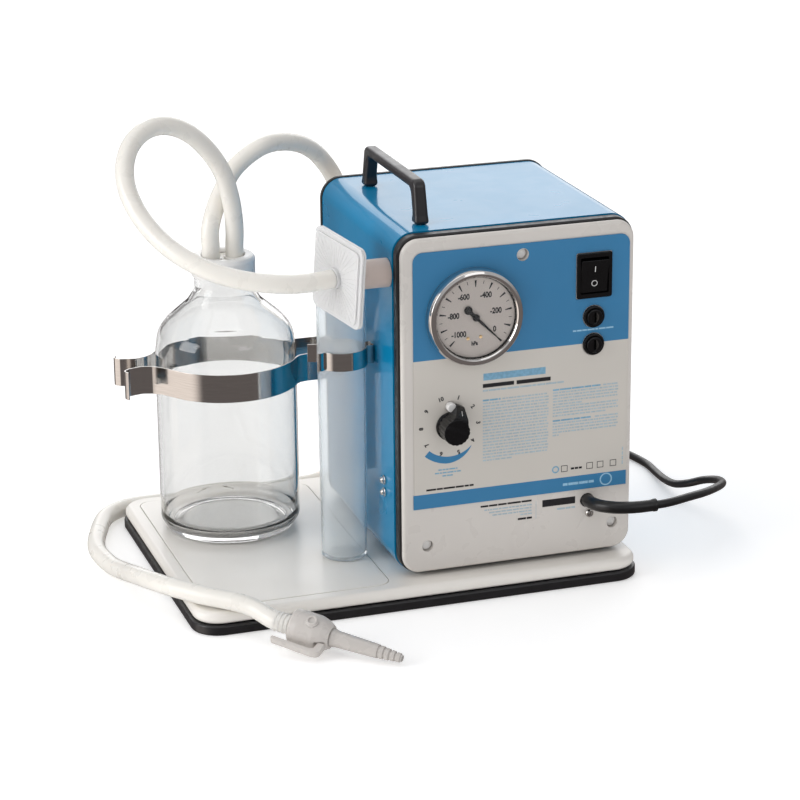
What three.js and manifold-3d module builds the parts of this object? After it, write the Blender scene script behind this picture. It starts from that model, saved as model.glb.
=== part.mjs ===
// Portable suction pump: housing with gauge, switch and regulator on a base plate, a glass
// collection bottle in a spring clip, a catheter tube, a bacterial filter, hoses and mains lead.
// Millimetres, +Z up, +X to the right along the front panel, +Y to the back.
// The origin is the middle of the underside of the base.
import * as THREE from 'three';
import { mergeVertices } from 'three/addons/utils/BufferGeometryUtils.js';
import Module from 'manifold-3d';

const wasm = await Module();
wasm.setup();

// ---------------------------------------------------------------- driving dimensions
const GAP = 0.3;
const BASE = { width: 327, depth: 240, corner: 20, rimHeight: 7, rimLip: 1.2, top: 16.4 };
const INSERT = { left: -152, right: -20.5, front: -108, back: 108, corner: 10, recess: 1.2, proud: 0.4 };
const PANEL = { left: -11.1, bottom: 19.7, width: 170, height: 241, corner: 13, thick: 5 };
const FRONT = -103;
const BACK = 77;
const SLEEVE = { lip: 2, wall: 1.5 };
const GASKET = { lip: 2.85, inset: 1.2, depth: 3.7 };
const FRONT_GASKET = { lip: 1.2, inner: -1.8, start: 5.3, depth: 8 };
const LABEL = { left: 8, right: 166.6, low: 44, high: 232, thick: 0.4 };
const GAUGE = { u: 51.6, v: 184, bezel: 34.25, case: 30, window: 28.8, depth: 28 };
const SWITCH = { u: 140.1, v: 204, width: 26, height: 32.3, depth: 22, pivot: -3, tip: 7.5 };
const FUSE = { u: 140.1, v: [174.3, 154.3], collar: 7.75, body: 6.9, cap: 5.7 };
const REGULATOR = { u: 34.4, v: 106.4, skirt: 10.2, crown: 8.7, height: 17, reach: 16.6, restAngle: 24 };
const STOP_PEG = { u: 34.7, v: 120.6, radius: 3.4, height: 5 };
const POCKET = { radius: 4.15, places: { top: [87.6, 223.5], left: [18.1, 19.4], right: [156.6, 19.4] } };
const LEAD_SCREW = { u: 139, v: 28.6, radius: 3 };
const LEAD_EXIT = { u: 137.2, v: 38.6, radius: 5.2 };
const HANDLE = {
  x: 13.8, front: -71.4, back: 42.3, lean: 5, width: 9, leg: 8.4, foot: 11.4, top: 293, bar: 7,
};
const BOTTLE = { x: -95.9, y: 45, radius: 50.9, wall: 2.2, bottom: 17.1, neck: 21, lip: 215.5 };
const CAP = { radius: 22.8, bottom: 206.8, top: 221.6, aperture: 15.5 };
const PORT = { offset: 8.7, bore: 3.2, pipe: 5 };
const CLIP = { radius: 52, low: 126.7, height: 20.5, thick: 1, neckFront: 24, neckBack: 62 };
const TUBE = { x: -36.1, y: -45, top: 216, radiusTop: 17.2, radiusLow: 16.2, wall: 1.3, bottom: 17.1 };
const TUBE_CLIP = { radius: 17.95, low: 159.7, height: 13, thick: 0.8, neck: 5 };
const INLET = { y: -81, z: 233.6, bore: 4.4, radius: 10 };
const FILTER = { x: -47.7, y: -81, z: 233.3, side: 58, shell: 3.1, turn: 16, roll: -6.7, corner: 6 };
const HOSE = { radius: 6.5, sides: 8 };
const LEAD = { radius: 3, sides: 8 };
const COIL = { x: 195, y: 176, mean: 34, width: 27, height: 14.6 };
const PLUG = { x: 150.8, y: 206.7, z: 7.3, heading: 20, width: 35.3, thick: 13.7, length: 36, pin: 19 };
const CONNECTOR = { from: [-106.4, -154.2, 16], to: [-46.3, -206.8, 5], roll: 68 };
const MOTOR = { x: 74, z: 75, radius: 32, front: -59.5, back: 12.5, shaft: 4 };
const CRANK = { radius: 12, gap: 12, thick: 8, pin: 3.5, throw: 5 };
const HEAD = { y: 38, low: 126, top: 150, outer: 30, bore: 25 };

// ---------------------------------------------------------------- materials
const paint = (color, roughness = 0.5, metalness = 0) =>
  new THREE.MeshStandardMaterial({ color, roughness, metalness });
const whitePlastic = paint('#eceae6', 0.4);
const bluePaint = paint('#1b8fc4', 0.15);
const blackRubber = paint('#16171a', 0.8);
const blackPlastic = paint('#1a1a1c', 0.4);
const steel = paint('#c3c4c6', 0.25, 1);
const chrome = paint('#d9dadc', 0.1, 1);
const hoseSilicone = paint('#eeece6', 0.55);
const clearGlass = paint('#dfe9e6', 0.05);
const clearPlastic = paint('#e6edf0', 0.25);
const creamRubber = paint('#e6d3bf', 0.7);
const castMetal = paint('#9b9ea2', 0.5, 1);

// ---------------------------------------------------------------- building blocks
const pump = new THREE.Group();

// Shared vertices merged, faces of no area dropped, faces turned outwards.
function welded(geometry) {
  const bare = geometry.clone();
  bare.deleteAttribute('normal');
  bare.deleteAttribute('uv');
  const merged = mergeVertices(bare, 1e-4);
  const at = (i) => new THREE.Vector3().fromBufferAttribute(merged.attributes.position, i);
  const index = merged.index.array;
  const kept = [];
  let volume = 0;
  for (let i = 0; i < index.length; i += 3) {
    const [a, b, c] = [index[i], index[i + 1], index[i + 2]];
    if (a === b || b === c || c === a) continue;
    kept.push(a, b, c);
    volume += at(a).dot(at(b).cross(at(c)));
  }
  if (volume < 0) kept.reverse();
  merged.setIndex(kept);
  return merged;
}

function toSolid(geometry) {
  const mesh = welded(geometry);
  const vertProperties = mesh.attributes.position.array;
  const triVerts = new Uint32Array(mesh.index.array);
  return new wasm.Manifold(new wasm.Mesh({ numProp: 3, vertProperties, triVerts }));
}

function toGeometry(solid) {
  const mesh = solid.getMesh();
  const geometry = new THREE.BufferGeometry();
  geometry.setAttribute('position', new THREE.BufferAttribute(new Float32Array(mesh.vertProperties), 3));
  geometry.setIndex(new THREE.BufferAttribute(new Uint32Array(mesh.triVerts), 1));
  return geometry;
}

function cut(body, ...tools) {
  return toGeometry(tools.reduce((left, tool) => left.subtract(toSolid(tool)), toSolid(body)));
}

function join(...bodies) {
  const solids = bodies.map(toSolid);
  return toGeometry(solids.reduce((whole, next) => whole.add(next)));
}

function add(name, geometry, material) {
  const mesh = new THREE.Mesh(welded(geometry), material);
  mesh.name = name;
  pump.add(mesh);
  return mesh;
}

function box(x0, x1, y0, y1, z0, z1) {
  const geometry = new THREE.BoxGeometry(x1 - x0, y1 - y0, z1 - z0);
  return geometry.translate((x0 + x1) / 2, (y0 + y1) / 2, (z0 + z1) / 2);
}

function roundedRect(x0, x1, y0, y1, radius) {
  const shape = new THREE.Shape();
  shape.moveTo(x0 + radius, y0);
  shape.absarc(x1 - radius, y0 + radius, radius, -Math.PI / 2, 0);
  shape.absarc(x1 - radius, y1 - radius, radius, 0, Math.PI / 2);
  shape.absarc(x0 + radius, y1 - radius, radius, Math.PI / 2, Math.PI);
  shape.absarc(x0 + radius, y0 + radius, radius, Math.PI, Math.PI * 1.5);
  return shape;
}

function polygon(points) {
  return new THREE.Shape(points.map(([x, y]) => new THREE.Vector2(x, y)));
}

// A shape in the XY plane made into a slab from z = 0 up, with its edges rounded if asked.
function slab(shape, thickness, bevel = 0, curveSegments = 4) {
  const settings = { depth: thickness - 2 * bevel, bevelEnabled: bevel > 0, curveSegments };
  Object.assign(settings, { bevelThickness: bevel, bevelSize: bevel, bevelOffset: -bevel, bevelSegments: 1 });
  return new THREE.ExtrudeGeometry(shape, settings).translate(0, 0, bevel);
}

// The same slab stood upright, its shape facing the front and its front face at y.
function upright(shape, thickness, y, bevel = 0, curveSegments = 4) {
  return slab(shape, thickness, bevel, curveSegments).rotateX(Math.PI / 2).translate(0, y + thickness, 0);
}

// A profile of [radius, height] points turned about the Z axis.
function turned(profile, segments = 24) {
  const points = profile.map(([radius, height]) => new THREE.Vector2(radius, height));
  return new THREE.LatheGeometry(points, segments).rotateX(Math.PI / 2);
}

// A profile of [radius, distance in front of the panel] points turned about a panel point.
function turnedOnPanel(profile, u, v, segments = 24) {
  const geometry = turned(profile, segments).rotateX(Math.PI / 2);
  return geometry.translate(PANEL.left + u, FRONT, PANEL.bottom + v);
}

function onPanel(u0, u1, v0, v1, radius) {
  const { left, bottom } = PANEL;
  return roundedRect(left + u0, left + u1, bottom + v0, bottom + v1, radius);
}

function panelOutline(lip, radius) {
  return onPanel(-lip, PANEL.width + lip, -lip, PANEL.height + lip, radius);
}

function ring(outer, inner) {
  outer.holes.push(inner);
  return outer;
}

function circle(radius, sides) {
  const corner = (k) => [Math.cos((k / sides) * 2 * Math.PI), Math.sin((k / sides) * 2 * Math.PI)];
  return polygon(Array.from({ length: sides }, (_, k) => corner(k).map((c) => c * radius)));
}

// A round section carried along a smooth curve through the points, a step every two diameters.
function along(points, radius, sides, hole = null) {
  const path = new THREE.CatmullRomCurve3(points.map((p) => new THREE.Vector3(...p)), false, 'centripetal');
  const section = circle(radius, sides);
  if (hole) section.holes.push(circle(hole, sides));
  const steps = Math.max(4, Math.round(path.getLength() / (4.4 * radius)));
  return new THREE.ExtrudeGeometry(section, { steps, bevelEnabled: false, extrudePath: path });
}

// A metal strip stood on edge: a centre line in plan, a thickness and a height.
function strip(line, thickness, low, height) {
  const side = (offset) => line.map(([x, y], i) => {
    const before = line[Math.max(0, i - 1)];
    const after = line[Math.min(line.length - 1, i + 1)];
    const run = new THREE.Vector2(after[0] - before[0], after[1] - before[1]).normalize();
    return [x - run.y * offset, y + run.x * offset];
  });
  const outline = [...side(thickness / 2), ...side(-thickness / 2).reverse()];
  return slab(polygon(outline), height).translate(0, 0, low);
}

function arc(x, y, radius, from, to, steps) {
  const angle = (k) => THREE.MathUtils.degToRad(from + ((to - from) * k) / steps);
  const place = (k) => [x + radius * Math.cos(angle(k)), y + radius * Math.sin(angle(k))];
  return Array.from({ length: steps + 1 }, (_, k) => place(k));
}

// ---------------------------------------------------------------- base
function buildBase() {
  const halfW = BASE.width / 2;
  const halfD = BASE.depth / 2;
  const { rimHeight, rimLip, corner, top } = BASE;
  const rim = slab(roundedRect(-halfW, halfW, -halfD, halfD, corner), rimHeight, 1);
  add('base_rim', rim, blackRubber);

  const plateShape = roundedRect(-halfW + rimLip, halfW - rimLip, -halfD + rimLip, halfD - rimLip, corner);
  const plateLow = rimHeight + GAP;
  const plate = slab(plateShape, top - plateLow, 2.5).translate(0, 0, plateLow);
  const { left, right, front, back, recess } = INSERT;
  const pocket = slab(roundedRect(left, right, front, back, INSERT.corner), 10);
  add('base_plate', cut(plate, pocket.translate(0, 0, top - recess)), whitePlastic);

  const margin = 0.7;
  const sides = [left + margin, right - margin, front + margin, back - margin];
  const insert = slab(roundedRect(...sides, INSERT.corner), recess + INSERT.proud - GAP);
  add('base_insert', insert.translate(0, 0, top - recess + GAP), whitePlastic);
}

// ---------------------------------------------------------------- housing
function panelHole(radius, u, v) {
  return turnedOnPanel([[0, -20], [radius, -20], [radius, 20], [0, 20]], u, v, radius > 10 ? 24 : 12);
}

function buildHousing() {
  const sleeveFront = FRONT + FRONT_GASKET.start + FRONT_GASKET.depth + GAP;
  const sleeveBack = BACK - GASKET.inset - GASKET.depth - GAP;
  const outer = panelOutline(SLEEVE.lip, PANEL.corner + SLEEVE.lip);
  const inner = panelOutline(SLEEVE.lip - SLEEVE.wall, PANEL.corner + SLEEVE.lip - SLEEVE.wall);
  const sleeve = upright(ring(outer, inner), sleeveBack - sleeveFront, sleeveFront);
  const portHole = turned([[0, -8], [4.8, -8], [4.8, 8], [0, 8]], 16).rotateY(Math.PI / 2);
  portHole.translate(PANEL.left, INLET.y, INLET.z);
  add('housing_sleeve', cut(sleeve, portHole), bluePaint);

  const { lip, inner: step, start, depth } = FRONT_GASKET;
  const band = ring(panelOutline(lip, PANEL.corner + lip), panelOutline(step, PANEL.corner + step));
  add('front_gasket', upright(band, depth, FRONT + start), blackRubber);
  const rim = panelOutline(GASKET.lip, PANEL.corner + GASKET.lip);
  const seal = ring(rim, panelOutline(GAP, PANEL.corner + GAP));
  add('rear_gasket', upright(seal, GASKET.depth, sleeveBack + GAP), blackRubber);
}

function buildFrontPanel() {
  const plate = upright(panelOutline(0, PANEL.corner), PANEL.thick, FRONT, 1.5);
  const pockets = Object.values(POCKET.places).map(([u, v]) => panelHole(POCKET.radius, u, v));
  const { u, v, width, height } = SWITCH;
  const margin = 1.6;
  const halfW = width / 2 - margin;
  const halfH = height / 2 - margin;
  const switchHole = upright(onPanel(u - halfW, u + halfW, v - halfH, v + halfH, 0.5), 40, FRONT - 20);
  const holes = [
    panelHole(GAUGE.case + 0.4, GAUGE.u, GAUGE.v),
    ...FUSE.v.map((fuseV) => panelHole(FUSE.body + 0.4, FUSE.u, fuseV)),
    panelHole(5.4, REGULATOR.u, REGULATOR.v),
    panelHole(LEAD_EXIT.radius, LEAD_EXIT.u, LEAD_EXIT.v),
    panelHole(1.9, LEAD_SCREW.u, LEAD_SCREW.v),
  ];
  add('front_panel', cut(plate, ...pockets, switchHole, ...holes), whitePlastic);

  // Printed foil on the panel, with openings for everything that stands through it.
  const foil = upright(onPanel(LABEL.left, LABEL.right, LABEL.low, LABEL.high, 2), LABEL.thick, 0);
  foil.translate(0, FRONT - GAP - LABEL.thick, 0);
  const window = [u - width / 2 - 0.5, u + width / 2 + 0.5, v - height / 2 - 0.5, v + height / 2 + 0.5];
  const openings = [
    panelHole(GAUGE.bezel + 0.5, GAUGE.u, GAUGE.v),
    ...FUSE.v.map((fuseV) => panelHole(FUSE.collar + 0.5, FUSE.u, fuseV)),
    panelHole(6, REGULATOR.u, REGULATOR.v),
    panelHole(STOP_PEG.radius + 0.4, STOP_PEG.u, STOP_PEG.v),
    panelHole(POCKET.radius + 0.3, ...POCKET.places.top),
    upright(onPanel(...window, 0.5), 40, FRONT - 20),
  ];
  add('panel_label', cut(foil, ...openings), bluePaint);

  for (const [name, [pu, pv]] of Object.entries(POCKET.places)) {
    const profile = [[0, -12], [1.8, -12], [1.8, -4.5], [3.8, -4.5], [3.8, -2], [3.2, -1.4], [0, -1.4]];
    add(`panel_screw_${name}`, turnedOnPanel(profile, pu, pv, 16), whitePlastic);
  }
  const { radius } = LEAD_SCREW;
  const head = [[0, -9], [1.5, -9], [1.5, GAP], [radius, GAP], [radius, 1.2], [2, 2], [0, 2.2]];
  add('lead_clamp_screw', turnedOnPanel(head, LEAD_SCREW.u, LEAD_SCREW.v, 16), steel);
}

function buildRearPanel() {
  const plate = upright(panelOutline(0, PANEL.corner), PANEL.thick, BACK - PANEL.thick, 1.5);
  const slots = [];
  for (const u of [48, 122]) {
    for (let v = 60; v <= 180; v += 20) {
      const slot = box(u - 26, u + 26, BACK - 20, BACK + 20, v - 2.5, v + 2.5);
      slots.push(slot.translate(PANEL.left, 0, PANEL.bottom));
    }
  }
  add('rear_panel', cut(plate, ...slots), whitePlastic);
}

function buildSideScrews() {
  const wall = PANEL.left - SLEEVE.lip;
  for (const [name, z] of [['side_screw_upper', 79.2], ['side_screw_lower', 70.2]]) {
    const profile = [[0, GAP], [3.4, GAP], [3.4, 1], [2.4, 2.1], [0, 2.4]];
    const head = turned(profile, 16).rotateY(-Math.PI / 2);
    add(name, head.translate(wall, FRONT + 33.6, z), steel);
  }
}

function buildHandle() {
  const roof = PANEL.bottom + PANEL.height + SLEEVE.lip + GAP;
  const half = HANDLE.leg / 2;
  const foot = HANDLE.foot / 2;
  const front = HANDLE.front + HANDLE.lean;
  const back = HANDLE.back - HANDLE.lean;
  const { top } = HANDLE;
  const under = top - HANDLE.bar;
  const side = new THREE.Shape();
  side.moveTo(HANDLE.front - foot, roof);
  side.lineTo(front - half, top - 5);
  side.quadraticCurveTo(front - half, top, front - half + 5, top);
  side.lineTo(back + half - 5, top);
  side.quadraticCurveTo(back + half, top, back + half, top - 5);
  side.lineTo(HANDLE.back + foot, roof);
  side.lineTo(HANDLE.back - foot, roof);
  side.lineTo(back - half, under - 4);
  side.quadraticCurveTo(back - half, under, back - half - 4, under);
  side.lineTo(front + half + 4, under);
  side.quadraticCurveTo(front + half, under, front + half, under - 4);
  side.lineTo(HANDLE.front + foot, roof);
  const bridge = slab(side, HANDLE.width, 0, 4).rotateX(Math.PI / 2).rotateZ(Math.PI / 2);
  add('carry_handle', bridge.translate(HANDLE.x - HANDLE.width / 2, 0, 0), blackPlastic);
}

// ---------------------------------------------------------------- vacuum gauge
function buildGauge() {
  const { u, v } = GAUGE;
  const r = GAUGE.case;
  const inner = r - 1.4;
  const cup = [
    [0, -GAUGE.depth - 12], [4, -GAUGE.depth - 12], [5, -GAUGE.depth], [r, -GAUGE.depth],
    [r, 7.2], [inner, 7.2], [inner, -GAUGE.depth + 2], [0, -GAUGE.depth + 2],
  ];
  add('gauge_case', turnedOnPanel(cup, u, v, 24), blackPlastic);

  const b = GAUGE.bezel;
  const lip = [
    [r + 0.3, 0.4], [b, 0.4], [b, 6.8], [b - 1.1, 8.9], [b - 2.6, 9.6],
    [GAUGE.window + 0.8, 9.6], [GAUGE.window, 8.9], [r + 0.3, 8.9], [r + 0.3, 0.4],
  ];
  add('gauge_bezel', turnedOnPanel(lip, u, v, 24), chrome);

  const dial = [[1.2, 4.6], [inner - GAP, 4.6], [inner - GAP, 5.4], [1.2, 5.4], [1.2, 4.6]];
  add('gauge_dial', turnedOnPanel(dial, u, v, 24), whitePlastic);
  add('gauge_lens', turnedOnPanel([[0, 7.6], [r, 7.6], [r, 8.6], [0, 8.6]], u, v, 24), clearGlass);

  // The needle lies along +X here and is then turned to the zero mark, 45 degrees below it.
  const blade = polygon([[-9, -1.4], [-9, 1.4], [0, 1.1], [24.4, 0.25], [24.4, -0.25], [0, -1.1]]);
  const pointer = upright(blade, 0.6, 0).rotateY(Math.PI / 4);
  pointer.translate(PANEL.left + u, FRONT - 6.7, PANEL.bottom + v);
  const spindle = turnedOnPanel([[0, 1], [0.8, 1], [0.8, 6], [2.2, 6], [2.2, 6.9], [0, 6.9]], u, v, 12);
  add('gauge_needle', join(pointer, spindle), blackPlastic);
}

// ---------------------------------------------------------------- switch and fuses
function buildSwitch() {
  const { u, v, width, height, depth } = SWITCH;
  const flange = upright(onPanel(u - width / 2, u + width / 2, v - height / 2, v + height / 2, 1.2), 2.2, 0);
  flange.translate(0, FRONT - 2.6, 0);
  const body = upright(onPanel(u - 11, u + 11, v - 14.1, v + 14.1, 0.4), depth + 1, 0);
  body.translate(0, FRONT - 1, 0);
  const cavity = upright(onPanel(u - 9.7, u + 9.7, v - 12.9, v + 12.9, 0.4), 20, 0);
  cavity.translate(0, FRONT - 9, 0);
  add('switch_frame', cut(join(flange, body), cavity), blackPlastic);
}

// The rocker level with its frame, as [distance in front of the panel, height], then tipped about
// its pivot so that its lower half is pressed in: the off position.
function buildRocker() {
  const { u, v, pivot, tip } = SWITCH;
  const sideView = [[1.4, -11.6], [0.6, 0], [1.4, 11.6], [-5.5, 11.2], [-7.5, 5], [-7.5, -5], [-5.5, -11.2]];
  const halfWidth = 9.3;
  const shape = polygon(sideView.map(([s, h]) => [-(s - pivot), h]));
  const solid = slab(shape, 2 * halfWidth).rotateX(Math.PI / 2).rotateZ(Math.PI / 2);
  solid.translate(-halfWidth, 0, 0).rotateX(THREE.MathUtils.degToRad(tip));
  add('switch_rocker', solid.translate(PANEL.left + u, FRONT - pivot, PANEL.bottom + v), blackPlastic);
}

function buildFuses() {
  const names = ['upper', 'lower'];
  FUSE.v.forEach((v, i) => {
    const inner = FUSE.cap + 0.35;
    const holder = [
      [0, -20], [FUSE.body, -20], [FUSE.body, 0.45], [FUSE.collar, 0.45], [FUSE.collar, 1.8],
      [FUSE.collar - 0.8, 2.4], [inner, 2.4], [inner, -12], [0, -12],
    ];
    add(`fuse_holder_${names[i]}`, turnedOnPanel(holder, FUSE.u, v, 20), blackPlastic);
    const capProfile = [[0, -8], [FUSE.cap, -8], [FUSE.cap, 2.6], [FUSE.cap - 1, 3.6], [0, 3.6]];
    const cap = turnedOnPanel(capProfile, FUSE.u, v, 20);
    const slot = box(-0.8, 0.8, -5, 0, -3.6, 3.6);
    slot.translate(PANEL.left + FUSE.u, FRONT - 2, PANEL.bottom + v);
    add(`fuse_cap_${names[i]}`, cut(cap, slot), blackPlastic);
  });
}

// ---------------------------------------------------------------- vacuum regulator
function buildRegulator() {
  const { u, v, skirt, crown, height, reach, restAngle } = REGULATOR;
  const body = [
    [0, -26], [9, -26], [9, -5.4], [5, -5.4], [5, 0.2], [3.4, 0.2], [3.4, -15], [0, -15],
  ];
  add('regulator_body', turnedOnPanel(body, u, v, 20), castMetal);
  const barrel = [
    [0, 9.5], [3.3, 9.5], [3.3, 0.9], [skirt, 0.9], [skirt, 2.5], [crown + 0.5, height - 1.5],
    [crown - 0.8, height], [0, height],
  ];
  const wing = upright(polygon([[-2.6, 4], [2.6, 4], [1.6, reach], [-1.6, reach]]), 3.6, 0);
  wing.translate(0, -4.5, 0).rotateY(THREE.MathUtils.degToRad(restAngle));
  wing.translate(PANEL.left + u, FRONT, PANEL.bottom + v);
  add('regulator_knob', join(turnedOnPanel(barrel, u, v, 24), wing), blackPlastic);
  add('regulator_spindle', turnedOnPanel([[0, -14.5], [3, -14.5], [3, 9.1], [0, 9.1]], u, v, 16), steel);
  const { radius: pegRadius, height: pegTop } = STOP_PEG;
  const peg = [[0, GAP], [pegRadius, GAP], [pegRadius, 4.2], [2.6, pegTop], [0, pegTop]];
  add('regulator_stop', turnedOnPanel(peg, STOP_PEG.u, STOP_PEG.v, 16), whitePlastic);
}

// ---------------------------------------------------------------- bottle, cap and clips
function buildBottle() {
  const { x, y, radius, wall, bottom, neck, lip } = BOTTLE;
  const profile = [
    [0, bottom + 3.5], [38, bottom + 2], [42, bottom], [47.6, bottom + 1.6], [radius, bottom + 8],
    [radius, 148], [50, 158], [47.4, 166.5], [41.9, 173.6], [27.5, 186.5], [23.4, 192], [neck, 198],
    [neck, lip], [neck - 3.4, lip],
    [neck - 3.4, 198], [25.4, 185], [40, 171.9], [45.4, 165], [47.8, 157.5],
    [radius - wall, 147.6], [radius - wall, bottom + 10], [44, bottom + 5.4], [0, bottom + 6.6],
  ];
  add('bottle', turned(profile, 26).translate(x, y, 0), clearGlass);

  const { bottom: low, top, aperture } = CAP;
  const shell = [
    [neck + 0.4, low], [CAP.radius, low], [CAP.radius, top - 3], [CAP.radius - 1, top - 0.8],
    [CAP.radius - 3, top], [aperture + 0.8, top], [aperture, top - 0.8], [aperture, top - 3],
    [neck + 0.4, top - 3], [neck + 0.4, low],
  ];
  add('bottle_cap', turned(shell, 24).translate(x, y, 0), whitePlastic);

  const discLow = lip + GAP;
  const discTop = top - 3 - GAP;
  let stopper = turned([[0, discLow], [neck - GAP, discLow], [neck - GAP, discTop], [0, discTop]], 24);
  const bores = [];
  for (const side of [-1, 1]) {
    const end = discLow - 9;
    const pipe = turned([[0, end], [PORT.pipe, end], [PORT.pipe, discTop], [0, discTop]], 12);
    stopper = join(stopper, pipe.translate(side * PORT.offset, 0, 0));
    const bore = turned([[0, 100], [PORT.bore, 100], [PORT.bore, 300], [0, 300]], 12);
    bores.push(bore.translate(side * PORT.offset, 0, 0));
  }
  add('bottle_stopper', cut(stopper, ...bores).translate(x, y, 0), hoseSilicone);
}

function buildClips() {
  const wall = PANEL.left - SLEEVE.lip - GAP;
  const { radius, neckFront, neckBack } = CLIP;
  const toDegrees = THREE.MathUtils.radToDeg;
  const { x, y } = BOTTLE;
  const startBack = toDegrees(Math.asin((neckBack - y) / radius));
  const startFront = toDegrees(Math.asin((neckFront - y) / radius));
  const foot = wall - CLIP.thick / 2;
  const reach = 140;
  // One bent strip: rear lip, rear arm, foot on the housing wall, front arm, front lip.
  const bottleLine = [
    [-172, 58.6], [-165, 56.2], [-158.4, 55.4], [-154.6, 56.4],
    ...arc(x, y, radius, reach, startBack, 10),
    [foot - 3, neckBack], [foot, neckBack - 3], [foot, neckFront + 3], [foot - 3, neckFront],
    ...arc(x, y, radius, startFront, -reach, 10),
    [-154.6, 34.6], [-158.4, 35.6], [-165, 34.6], [-172, 31.8],
  ];
  add('bottle_clip', strip(bottleLine, CLIP.thick, CLIP.low, CLIP.height), steel);

  const tubeFoot = wall - TUBE_CLIP.thick / 2;
  const start = toDegrees(Math.asin(TUBE_CLIP.neck / TUBE_CLIP.radius));
  const tubeReach = 146;
  const lip = (sign) => {
    const angle = THREE.MathUtils.degToRad(tubeReach);
    const place = (out, back) => [
      TUBE.x + (TUBE_CLIP.radius + out) * Math.cos(angle) - back,
      TUBE.y + sign * (TUBE_CLIP.radius + out) * Math.sin(angle),
    ];
    return [place(2, 1.2), place(3.6, 3.2)];
  };
  const tubeLine = [
    ...lip(1).reverse(),
    ...arc(TUBE.x, TUBE.y, TUBE_CLIP.radius, tubeReach, start, 8),
    [tubeFoot - 1.5, TUBE.y + TUBE_CLIP.neck], [tubeFoot, TUBE.y + TUBE_CLIP.neck - 1.5],
    [tubeFoot, TUBE.y - TUBE_CLIP.neck + 1.5], [tubeFoot - 1.5, TUBE.y - TUBE_CLIP.neck],
    ...arc(TUBE.x, TUBE.y, TUBE_CLIP.radius, -start, -tubeReach, 8),
    ...lip(-1),
  ];
  add('tube_clip', strip(tubeLine, TUBE_CLIP.thick, TUBE_CLIP.low, TUBE_CLIP.height), steel);
}

function buildCatheterTube() {
  const { x, y, top, radiusTop, radiusLow, wall, bottom } = TUBE;
  const profile = [
    [0, bottom], [radiusLow - 3, bottom], [radiusLow - 0.8, bottom + 1], [radiusLow, bottom + 3.5],
    [radiusTop, top], [radiusTop - wall, top], [radiusLow - wall, bottom + 4.5],
    [radiusLow - wall - 2, bottom + 2], [0, bottom + 2],
  ];
  add('catheter_tube', turned(profile, 22).translate(x, y, 0), clearPlastic);
}

// ---------------------------------------------------------------- inlet and bacterial filter
function buildInletAndFilter() {
  const wallOut = PANEL.left - SLEEVE.lip;
  const inside = PANEL.left - SLEEVE.lip + SLEEVE.wall;
  // Nipple through the wall, with its flange inside; profile as [radius, distance along +X].
  const nipple = [
    [2.5, -27], [4, -27], [4, inside + GAP], [8, inside + GAP], [8, inside + 4], [4, inside + 4],
    [4, 6], [2.5, 6], [2.5, -27],
  ];
  add('inlet_nipple', turned(nipple, 16).rotateY(Math.PI / 2).translate(0, INLET.y, INLET.z), chrome);

  const turn = THREE.MathUtils.degToRad(FILTER.turn);
  const out = new THREE.Vector3(-Math.cos(turn), -Math.sin(turn), 0);
  const middle = new THREE.Vector3(FILTER.x, FILTER.y, FILTER.z);
  const half = FILTER.shell + GAP / 2;
  const back = middle.clone().addScaledVector(out, -half - GAP);
  const before = back.clone().addScaledVector(out, -6);
  const route = [
    [wallOut - GAP, INLET.y, INLET.z], [wallOut - 8, INLET.y, INLET.z], [wallOut - 16, INLET.y, INLET.z],
    before.toArray(), back.toArray(),
  ];
  add('inlet_sleeve', along(route, INLET.radius, 12, INLET.bore), creamRubber);

  // Each shell is drawn lying flat with its outside up, then stood up facing out of the filter.
  const shell = (direction, stub, stubRadius, collar) => {
    const side = FILTER.side / 2;
    const plate = slab(roundedRect(-side, side, -side, side, FILTER.corner), FILTER.shell, 0.8, 3);
    const recess = turned([[0, -1], [24, -1], [24, 0.5], [0, 0.5]], 16);
    const spout = turned([
      [0, 1], [collar, 1], [collar, FILTER.shell + 2.5], [stubRadius, FILTER.shell + 2.5],
      [stubRadius, FILTER.shell + stub], [0, FILTER.shell + stub],
    ], 12);
    const bore = turned([[0, -5], [2.4, -5], [2.4, 40], [0, 40]], 12);
    const solid = cut(join(plate, spout), recess, bore);
    solid.translate(0, 0, GAP / 2);
    solid.rotateZ(THREE.MathUtils.degToRad(direction * FILTER.roll));
    solid.rotateY(Math.PI / 2);
    solid.rotateZ(turn + (direction > 0 ? Math.PI : 0));
    return solid.translate(...middle.toArray());
  };
  add('filter_shell_inlet', shell(1, 2.6, 5, 7.4), clearPlastic);
  add('filter_shell_outlet', shell(-1, 5, 3.6, 3.6), clearPlastic);
  const membrane = turned([[0, -0.2], [23.4, -0.2], [23.4, 0.2], [0, 0.2]], 16);
  membrane.rotateY(Math.PI / 2).rotateZ(turn).translate(...middle.toArray());
  add('filter_membrane', membrane, whitePlastic);
  return { middle, out, face: half + 2.7 };
}

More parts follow.
